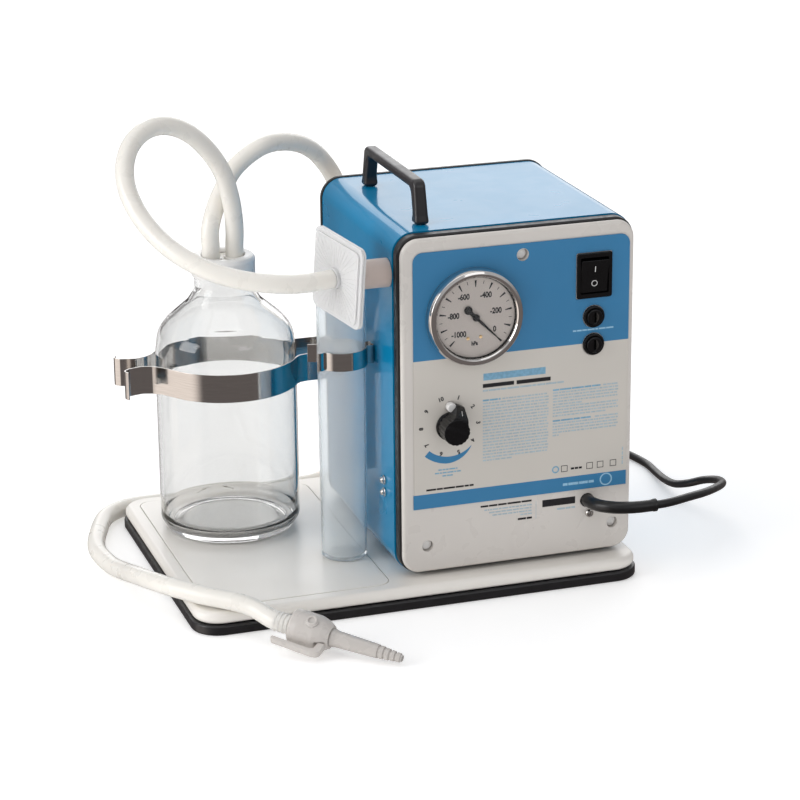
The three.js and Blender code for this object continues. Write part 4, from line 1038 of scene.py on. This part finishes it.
def build_print():
    on_foil, on_blue, on_plate = 0.6, 0.62, 0.0
    pale, strong, dark, light, low_grey, low_dark = [], [], [], [], [], []
    column_a, end_a, column_b, end_b = 58.6, 107.2, 110.4, 159.4
    pale += words(73, end_a, 121.9, 1.05)
    paragraph(pale, column_a, end_a, 121.9, 20, 2.2, 80)
    strong += words(column_a, 71.6, 121.9, 1.2, 4, 7)
    strong += words(column_b, 146, 123.6, 1.2, 4, 9)
    pale += words(148, end_b, 123.6, 1.05)
    paragraph(pale, column_b, end_b, 123.6, 5, 2.15, 133)
    pale += words(column_b, end_b, 110.9, 1.05)
    paragraph(pale, column_b, end_b, 110.9, 3, 2.15, 150)
    strong += words(column_b, 140, 100.9, 1.2, 4, 9)
    pale += words(142, end_b, 100.9, 1.05)
    paragraph(pale, column_b, end_b, 100.9, 5, 2.15, 115)
    pale += words(column_a, 118.5, 129.0, 1.3, 3, 9)
    for width, height in ((7, 74.9), (9.5, 72.6), (4, 70.3)):
        strong += words(32.9 - width, 32.9 + width, height, 0.95)
    pale += [(163.0, 163.9, v, v + 2.6) for v in (62.8, 66.2, 69.6, 73.0)]
    dark += words(17, 53, 61, 1.3, 3, 9)
    dark += [(column_a, 81.5, 131.1, 133.9), (83.4, 108.6, 131.1, 133.9)]
    for mid in (119.5, 138.6, 146.6, 156.4):
        dark += outline_square(mid, 64.6, 2.4, 0.42)
    dark += words(124.4, 133.6, 64.0, 1.5, 2, 3)
    light += words(124.8, 155.2, 165.0, 1.1, 2, 6)
    light += words(118.5, 142, 52.6, 1.9, 3, 8)
    low_end = 95.6
    low_dark += words(57.2, low_end, 43.6, 1.35, 4, 10) + words(85, low_end, 30.8, 1.5, 4, 10)
    for k, start in enumerate((60, 63.5, 66, 87)):
        low_grey += words(start, low_end, 40.6 - 2.2 * k, 1.0)
    low_grey.append((98.5, 98.8, 29.6, 42.6))
    low_dark += [(103.4, 128.2, 37.4, 42.6)]
    low_grey += words(114.5, 128.2, 34.6, 1.4, 3, 6)
    for name, bars, material, out in (
        ("paragraphs", pale, PRINT_PALE, on_foil), ("headings", strong, PRINT_BLUE, on_foil),
        ("marks", dark, PRINT_DARK, on_foil), ("on_blue", light, PRINT_LIGHT, on_blue),
        ("low_grey", low_grey, PRINT_PALE, on_plate), ("low_dark", low_dark, PRINT_DARK, on_plate),
        ("title_bar", [(59, 104.8, 136.4, 141.4)], PRINT_BLUE, on_foil),
    ):
        shapes = [rectangle(*bar) for bar in bars]
        attach(flat_shapes(f"print_{name}", shapes, material, PANEL, out), "white_plastic")
    for name, place, outer, inner, material in (
        ("print_ring_stripe", on_panel(151.1, 53.0, on_blue), 4.7, 3.7, PRINT_LIGHT),
        ("print_ring_low", on_panel(112.9, 64.6, on_foil), 2.7, 1.7, PRINT_BLUE),
    ):
        section = rectangle(inner, outer, 0, 0.05)
        attach(lathe(name, section, material, place, 48, closed=True), "white_plastic")


def outline_square(u, v, half, line):
    return [
        (u - half, u + half, v - half, v - half + line), (u - half, u + half, v + half - line, v + half),
        (u - half, u - half + line, v - half, v + half), (u + half - line, u + half, v - half, v + half),
    ]


# ------------------------------------------------------------------ gauge
def build_gauge():
    place = on_panel(*GAUGE)
    bezel = [
        (30.3, 0.4), (34.25, 0.4), (34.25, 6.4), (33.3, 8.7), (31.5, 9.6), (29.9, 9.6), (28.8, 8.2),
        (28.8, 7.0), (30.3, 7.0),
    ]
    ring = lathe("gauge_chrome_bezel", bezel, CHROME, place, 144, closed=True, shaded=50,
                 radii=[0, 0.3, 1.6, 1.2, 1.0, 0.8, 0.5, 0, 0], steps=6)
    attach(ring, "chrome", "gauge_bezel")
    case = [(0, -40), (4, -40), (5, -28), (30, -28), (30, 4.2), (28.6, 4.2), (28.6, -26), (0, -26)]
    attach(lathe("gauge_black_case", case, BLACK_PLASTIC, place), "black_plastic", "gauge_case")
    gap = rectangle(28.45, 30.2, 4.4, 6.9)
    inner = lathe("gauge_inner_ring", gap, BLACK_PLASTIC, place, closed=True, radii=0.2, steps=2)
    attach(inner, "black_plastic")
    face = lathe("gauge_dial_face", rectangle(1.2, 28.3, 4.6, 5.4), DIAL_WHITE, place, closed=True)
    attach(face, "white_plastic", "gauge_dial")
    disc = [(0, 7.6), (29.8, 7.6), (29.8, 8.6), (0, 8.6)]
    lens = lathe("gauge_front_glass", disc, LENS, place, radii=[0, 0.1, 0.1, 0], steps=3)
    attach(lens, "glass", "gauge_lens")

    ticks = []
    for k in range(21):
        angle = -45 + 13.5 * k
        if k % 2:
            ticks.append(turned_shape([(24.0, -0.2), (26.2, -0.2), (26.2, 0.2), (24.0, 0.2)], angle))
        else:
            ticks.append(turned_shape([(21.6, -0.3), (26.4, -0.75), (26.4, 0.75), (21.6, 0.3)], angle))
    attach(flat_shapes("gauge_scale_marks", ticks, PRINT_DARK, place, 5.4), "white_plastic")
    for k, (text, x, y) in enumerate((
        ("0", 13.7, -9.6), ("-200", 14.6, 3.4), ("-400", 7.4, 15.2), ("-600", -8.6, 15.0),
        ("-800", -16.0, 2.2), ("-1000", -12.2, -11.2), ("hPa", -0.8, -18.4),
    )):
        size = 3.9 if text == "hPa" else 5.6
        spot = place @ Matrix.Translation((x, y, 5.44))
        number = lettering(f"gauge_number_{k}", text, size, PRINT_DARK, spot, 0.82, 0.06, 0.2)
        attach(number, "white_plastic")
    for k, (x, y) in enumerate(((-5.7, -14.4), (3.6, -14.0))):
        profile = [(0, 5.4), (1.2, 5.4), (1.2, 5.8), (0.8, 6.0), (0, 6.05)]
        screw = lathe(f"gauge_brass_screw_{k}", profile, BRASS, place @ Matrix.Translation((x, y, 0)), 24)
        attach(screw, "steel")

    turn = place @ spun("Z", -45)
    edge = [(-7.5, -1.5), (-1, -1.25), (2, -1.0), (14, -0.7), (24.3, -0.2)]
    blade = edge + [(x, -y) for x, y in edge[::-1]]
    weight = [(0, 6.1), (2.9, 6.1), (2.9, 6.7), (2.6, 6.8), (0, 6.8)]
    hub = [
        (0, 5.5), (0.8, 5.5), (0.8, 6), (2.5, 6), (2.5, 6.9), (1.9, 7.1), (1.2, 7.1), (1.0, 7.35), (0, 7.4),
    ]
    pieces = [
        prism("blade", blade, 6.15, 6.7, BLACK_PLASTIC, turn, bevel=0.08, segments=1),
        lathe("weight", weight, BLACK_PLASTIC, turn @ Matrix.Translation((-8.0, 0, 0)), 40),
        lathe("hub", hub, BLACK_PLASTIC, turn, 40),
    ]
    attach(joined("gauge_pointer", *pieces), "black_plastic", "gauge_needle", body="needle")


# ------------------------------------------------------------------ switch, fuses, regulator
def build_switch():
    u, v = SWITCH
    place = on_panel(u, v)
    cavity = rectangle(-10.4, 10.4, -12.9, 12.9, 0.8, 3)
    flange = prism(
        "flange", rectangle(-13, 13, -16.15, 16.15, 1.6, 6), 0.4, 2.1, BLACK_PLASTIC, place, bevel=0.6,
        segments=4, cuts=[cutter(cavity, -11, 20, place)],
    )
    case = prism("case", rectangle(-11, 11, -14.1, 14.1, 0.6, 3), -21, 0.5, BLACK_PLASTIC, place,
                 cuts=[cutter(cavity, -11, 20, place)])
    attach(joined("switch_bezel", flange, case), "black_plastic", "switch_frame")

    pivot = on_panel(u, v, -3) @ spun("X", 7.5)
    face = [(4.9 + 0.5 * (h / 11.9) ** 2, h) for h in (-11.9, -8, -4, 0, 4, 8, 11.9)]
    outline = face + [(-2.5, 11.2), (-4.5, 5), (-4.5, -5), (-2.5, -11.2)]
    sideways = pivot @ Matrix(((0, 0, -1, 0), (0, 1, 0, 0), (1, 0, 0, 0), (0, 0, 0, 1)))
    rocker = prism(
        "switch_rocker_key", outline, -10.0, 10.0, BLACK_PLASTIC, sideways, bevel=0.4, segments=3,
    )
    attach(rocker, "black_plastic", "switch_rocker", body="rocker")
    line = flat_shapes("switch_mark_on", [rectangle(-0.3, 0.3, 3.4, 7.6)], MARK_WHITE, pivot, 5.0, 0.22)
    attach(line, "white_plastic", body="rocker")
    ring = lathe("switch_mark_off", [(1.72, 4.9), (2.25, 4.9), (2.25, 5.14), (1.72, 5.14)], MARK_WHITE,
                 pivot @ Matrix.Translation((0, -5.1, 0)), 40, closed=True)
    attach(ring, "white_plastic", body="rocker")


def build_fuses():
    for (level, v), body in zip(FUSES.items(), ("fuse_cap_top", "fuse_cap_bottom")):
        place = on_panel(SWITCH[0], v)
        profile = [
            (0, -20), (6.9, -20), (6.9, 0.45), (7.75, 0.45), (7.75, 2.0), (7.0, 2.6), (6.05, 2.6),
            (6.05, -12), (0, -12),
        ]
        holder = lathe(f"fuse_collar_{level}", profile, BLACK_PLASTIC, place, 56,
                       radii=[0, 0, 0, 0.1, 0.5, 0.4, 0.2, 0, 0])
        attach(holder, "black_plastic", f"fuse_holder_{level}")
        profile = [(0, -8), (5.7, -8), (5.7, 4.0), (0, 4.2)]
        cap = lathe("cap", profile, BLACK_PLASTIC, place, 56, radii=[0, 0, 0.9, 0], steps=5)
        cap.name = f"fuse_cap_turned_{level}"
        without(cap, cutter(rectangle(-0.8, 0.8, -3.7, 3.7, 0.3, 2), 2.2, 9, place))
        attach(smooth(cap), "black_plastic", f"fuse_cap_{level}", body=body)


def build_regulator():
    place = on_panel(*KNOB)
    outline = []
    steps, flutes, depth = 144, 18, 0.42
    for k in range(steps):
        angle = 2 * math.pi * k / steps
        radius = 9.35 - depth * max(0.0, math.cos(flutes * angle)) ** 2
        outline.append((radius * math.cos(angle), radius * math.sin(angle)))
    crown = prism("crown", outline, 2.4, 16.6, BLACK_PLASTIC, place, bevel=1.1, segments=4)
    profile = [(0, 0.9), (10.2, 0.9), (10.2, 2.2), (9.2, 3.0), (0, 3.0)]
    skirt = lathe("skirt", profile, BLACK_PLASTIC, place, radii=[0, 0.2, 0.5, 0.3, 0])
    turn = place @ spun("Z", -24)
    # The wing is drawn from the side: X outwards along the wing, Y out of the panel.
    sideways = turn @ ON_SIDE
    wing = rounded([(0, 1.0), (16.4, 1.0), (16.4, 5.2), (10.4, 15.6), (0, 17.0)], [0, 0.6, 1.8, 2.6, 0], 5)
    fin = prism("fin", wing, -8.2, 8.2, BLACK_PLASTIC, sideways, bevel=1.1, segments=4)
    spin = turn.inverted()
    taper, reach = 0.66, 15.4
    for vertex in fin.data.vertices:
        point = spin @ (vertex.co / MM)
        point.x *= 1 - taper * min(1.0, max(0.0, point.y - 1) / reach)
        vertex.co = (turn @ point) * MM
    knob = joined("regulator_pointer_knob", crown, skirt, fin)
    attach(knob, "black_plastic", "regulator_knob", body="knob")
    line = [(11.6, 13.53), (13.9, 9.54), (14.12, 9.66), (11.82, 13.65)]
    pointer = prism("regulator_pointer_line", line, -0.22, 0.22, MARK_WHITE, sideways)
    attach(pointer, "white_plastic", body="knob")
    profile = [(0, 0.3), (3.4, 0.3), (3.4, 4.2), (2.6, 5), (0, 5)]
    peg = lathe("regulator_white_peg", profile, CAP_WHITE, on_panel(*PEG), 40,
                radii=[0, 0.1, 0.8, 0.6, 0], steps=5)
    attach(peg, "white_plastic", "regulator_stop")
    for k in range(1, 11):
        spin = place @ spun("Z", 18 - 36 * k) @ Matrix.Translation((0, 20.7, 0.64))
        number = lettering(f"regulator_number_{k}", str(k), 4.1, PRINT_DARK, spin, 1.0, 0.05, 0.16)
        attach(number, "white_plastic")
    # The blue arc below the numbers is full for its first part and then tapers to a point.
    outer, inner = [], []
    steps, start, sweep, full_part = 40, -132, 87, 0.4
    for k in range(steps + 1):
        share = k / steps
        angle = math.radians(start + sweep * share)
        taper = 1 if share < full_part else 1 - ((share - full_part) / (1 - full_part)) ** 1.6
        inner.append((22.4 * math.cos(angle), 22.4 * math.sin(angle)))
        outer.append(((22.5 + 4.9 * taper) * math.cos(angle), (22.5 + 4.9 * taper) * math.sin(angle)))
    arc_piece = flat_shapes("regulator_blue_arc", [inner + outer[::-1]], LABEL_BLUE, place, 0.6, 0.05)
    attach(arc_piece, "blue_paint")


# ------------------------------------------------------------------ bottle, clips, tube
def build_bottle():
    x, y = BOTTLE
    place = Matrix.Translation((x, y, 0))
    outer = [
        (0, BOTTOM + 3.6), (34, BOTTOM + 2.4), (42, BOTTOM + 0.2), (47.0, BOTTOM + 1.2), (50.9, BOTTOM + 8),
        (50.9, 150), (48.6, 166), (41.9, 174.4), (27.0, 187.4), (21, 196.5), (21, 215.5),
    ]
    inner = [
        (17.6, 215.5), (17.6, 197.5), (25.2, 185.4), (40.1, 172.2), (46.2, 165), (48.7, 149.6),
        (48.7, BOTTOM + 12), (43.4, BOTTOM + 5.6), (30, BOTTOM + 6.4), (0, BOTTOM + 8.2),
    ]
    radii = [0, 8, 3, 3, 5, 30, 22, 22, 14, 10, 0.8, 0.8, 9, 16, 18, 20, 24, 7, 8, 20, 0]
    profile = rounded(outer + inner, radii, 8, closed=False)
    glass = lathe("glass_bottle", profile, GLASS, place, 128, shaded=60)
    attach(glass, "glass", "bottle")

    shell = [
        (21.4, 206.8), (22.8, 206.8), (23.0, 218.6), (21.8, 220.8), (19.8, 221.6), (16.3, 221.6),
        (15.5, 220.8), (15.5, 218.6), (21.4, 218.6),
    ]
    cap = lathe("bottle_white_cap", shell, CAP_WHITE, place, closed=True,
                radii=[0.1, 0.5, 1.5, 1.5, 1.2, 0.6, 0.6, 0.2, 0.4], steps=5)
    attach(cap, "white_plastic", "bottle_cap")
    disc = [(0, 215.8), (20.7, 215.8), (20.7, 218.2), (0, 218.3)]
    stopper = lathe("stopper_disc", disc, SILICONE, place, 64, radii=[0, 0.3, 0.6, 0])
    pipes = []
    for side in (-1, 1):
        spot = place @ Matrix.Translation((side * PIPE_APART, 0, 0))
        low = 215.8 - 9
        for section in (
            [(3.2, low), (5.0, low), (5.0, 216.4), (3.2, 216.4)],
            [(6.5, 218.2), (8.1, 218.2), (7.7, 219.6), (6.6, 219.9)],
        ):
            pipes.append(lathe("pipe", section, SILICONE, spot, 32, closed=True, radii=0.3, steps=2))
    attach(joined("bottle_silicone_stopper", stopper, *pipes), "silicone", "bottle_stopper")


def build_clips():
    wall = WALL - 0.3
    x, y = BOTTLE
    radius, neck_front, neck_back, reach = 52, 24, 62, 140
    start_back = math.degrees(math.asin((neck_back - y) / radius))
    start_front = math.degrees(math.asin((neck_front - y) / radius))
    foot = wall - 0.5
    neck_x_back = x + radius * math.cos(math.radians(start_back))
    neck_x_front = x + radius * math.cos(math.radians(start_front))
    foot_line = [
        (neck_x_back + 1.6, neck_back + 1.2), (neck_x_back + 7, neck_back), (foot, neck_back),
        (foot, neck_front), (neck_x_front + 7, neck_front), (neck_x_front + 1.6, neck_front - 1.2),
    ]
    back_lip = [
        (-172.5, 66.5), (-175, 61.5), (-170.5, 57.5), (-160.5, 55.0), (-153.6, 56.8), (-147.5, 61.5),
    ]
    front_lip = [
        (-147.5, 28.5), (-153.6, 33.2), (-160.5, 35.4), (-170.5, 32.8), (-175, 28.8), (-172.5, 23.8),
    ]
    # Two lips, two arms round the bottle and a foot against the housing wall, all one strip.
    line = [
        *bend(back_lip, 4),
        *arc(x, y, radius, reach, start_back + 6, 48),
        *bend(foot_line, [0, 5, 3, 3, 5, 0]),
        *arc(x, y, radius, start_front - 6, -reach, 48),
        *bend(front_lip, 4),
    ]
    clip = strip("bottle_spring_clip", line, 1.0, 126.7, 20.5, STEEL)
    attach(clip, "steel", "bottle_clip")

    tx, ty = TUBE
    small, neck, tube_reach = 17.95, 5, 146
    start = math.degrees(math.asin(neck / small))
    tube_foot = wall - 0.4
    tip = math.radians(tube_reach)
    lips = [
        (tx + (small + out) * math.cos(tip) - back, (small + out) * math.sin(tip))
        for out, back in ((3.6, 3.2), (2.0, 1.2))
    ]
    tube_foot_line = [
        (tube_foot - 2.6, ty + neck), (tube_foot, ty + neck), (tube_foot, ty - neck),
        (tube_foot - 2.6, ty - neck),
    ]
    line = [
        *[(a, ty + b) for a, b in lips],
        *arc(tx, ty, small, tube_reach, start, 36),
        *rounded(tube_foot_line, [0, 1.5, 1.5, 0], 5, closed=False),
        *arc(tx, ty, small, -start, -tube_reach, 36),
        *[(a, ty - b) for a, b in lips[::-1]],
    ]
    attach(strip("tube_spring_clip", line, 0.8, 159.7, 13, STEEL, 0.2), "steel", "tube_clip")


def bend(points, radius):
    return rounded(points, radius, 6, closed=False)


def build_tube():
    x, y = TUBE
    top = 216.0
    profile = [
        (0, BOTTOM + 0.6), (12, BOTTOM + 0.3), (16.2, BOTTOM), (17.2, top), (15.9, top), (14.9, BOTTOM + 3),
        (12, BOTTOM + 2), (0, BOTTOM + 2.4),
    ]
    holder = lathe("frosted_tube", profile, FROSTED, Matrix.Translation((x, y, 0)), shaded=50,
                   radii=[0, 4, 3.2, 0.6, 0.6, 3, 6, 0], steps=8)
    attach(holder, "clear_plastic", "catheter_tube", body="tube")


# ------------------------------------------------------------------ inlet and filter
def build_filter():
    down = Vector((0, 0, -1))
    across = Vector((math.sin(FILTER_TURN), -math.cos(FILTER_TURN), 0))
    place = Matrix.Translation(FILTER) @ Matrix((down, across, FILTER_OUT)).transposed().to_4x4()
    place = place @ spun("Z", -6.7)
    flipped = place @ spun("X", 180)
    for name, node, side, stub, stub_radius, collar in (
        ("filter_inlet_half", "filter_shell_inlet", place, 2.6, 5.0, 7.4),
        ("filter_outlet_half", "filter_shell_outlet", flipped, 5.0, 3.6, 3.7),
    ):
        flange = prism(
            "flange", rectangle(-29, 29, -29, 29, 5.5, 8), 0.15, 1.75, FILTER_CLEAR, side, bevel=0.5,
        )
        dish = prism(
            "dish", rectangle(-26.2, 26.2, -26.2, 26.2, 4.2, 8), 1.75, 3.25, FILTER_CLEAR, side,
            bevel=0.55,
        )
        spout = [
            (2.4, 3.2), (collar, 3.2), (collar, 5.7), (stub_radius, 5.9), (stub_radius, 3.25 + stub),
            (2.4, 3.25 + stub),
        ]
        pipe = lathe("spout", rounded(spout, 0.35, 3), FILTER_CLEAR, side, 40, closed=True)
        ribs = []
        for k in range(44):
            turn = 360 * k / 44
            angle = math.radians(turn)
            far = 24.6 / max(abs(math.cos(angle)), abs(math.sin(angle)))
            near = 9 if k % 2 else 15
            ribs.append(turned_shape([(near, -0.24), (far, -0.24), (far, 0.24), (near, 0.24)], turn))
        grid = flat_shapes("grid", ribs, FILTER_CLEAR, side, 3.2, 0.3)
        attach(joined(name, flange, dish, pipe, grid), "clear_plastic", node)
    sheet = prism(
        "filter_white_membrane", rectangle(-27, 27, -27, 27, 4.5, 8), -0.14, 0.14, FILTER_PAPER, place,
    )
    attach(sheet, "white_plastic", "filter_membrane")

    y, z = INLET
    back = FILTER - FILTER_OUT * 3.55
    before = back - FILTER_OUT * 6
    line = smooth_line(
        [(WALL - 0.3, y, z), (WALL - 8, y, z), (WALL - 16, y, z), tuple(before), tuple(back)], 1.0,
    )
    attach(tube("inlet_cream_sleeve", line, 10.0, CREAM, 48, 0.9), "cream_rubber", "inlet_sleeve")


# ------------------------------------------------------------------ what stays hidden inside
def finish_inside():
    inside = {
        "inlet_nipple": CHROME, "regulator_body": CAST, "regulator_spindle": STEEL, "pump_chassis": CAST,
        "motor_body": MOTOR_GREY, "motor_shaft": STEEL, "motor_fan": BLACK_PLASTIC, "connecting_rod": CAST,
        "pump_frame": CAST, "pump_diaphragm": RUBBER, "vacuum_line": SILICONE,
    }
    for name, material in inside.items():
        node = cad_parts[name]
        node.data.materials.clear()
        node.data.materials.append(material)


build_camera()
build_floor()
build_lights()
build_world()
build_filter_hose()
build_patient_hose()
build_mains_lead()
build_base()
build_housing()
build_front_panel()
build_rear_panel()
build_fixings()
build_handle()
build_foil()
build_print()
build_gauge()
build_switch()
build_fuses()
build_regulator()
build_bottle()
build_clips()
build_tube()
build_filter()
finish_inside()
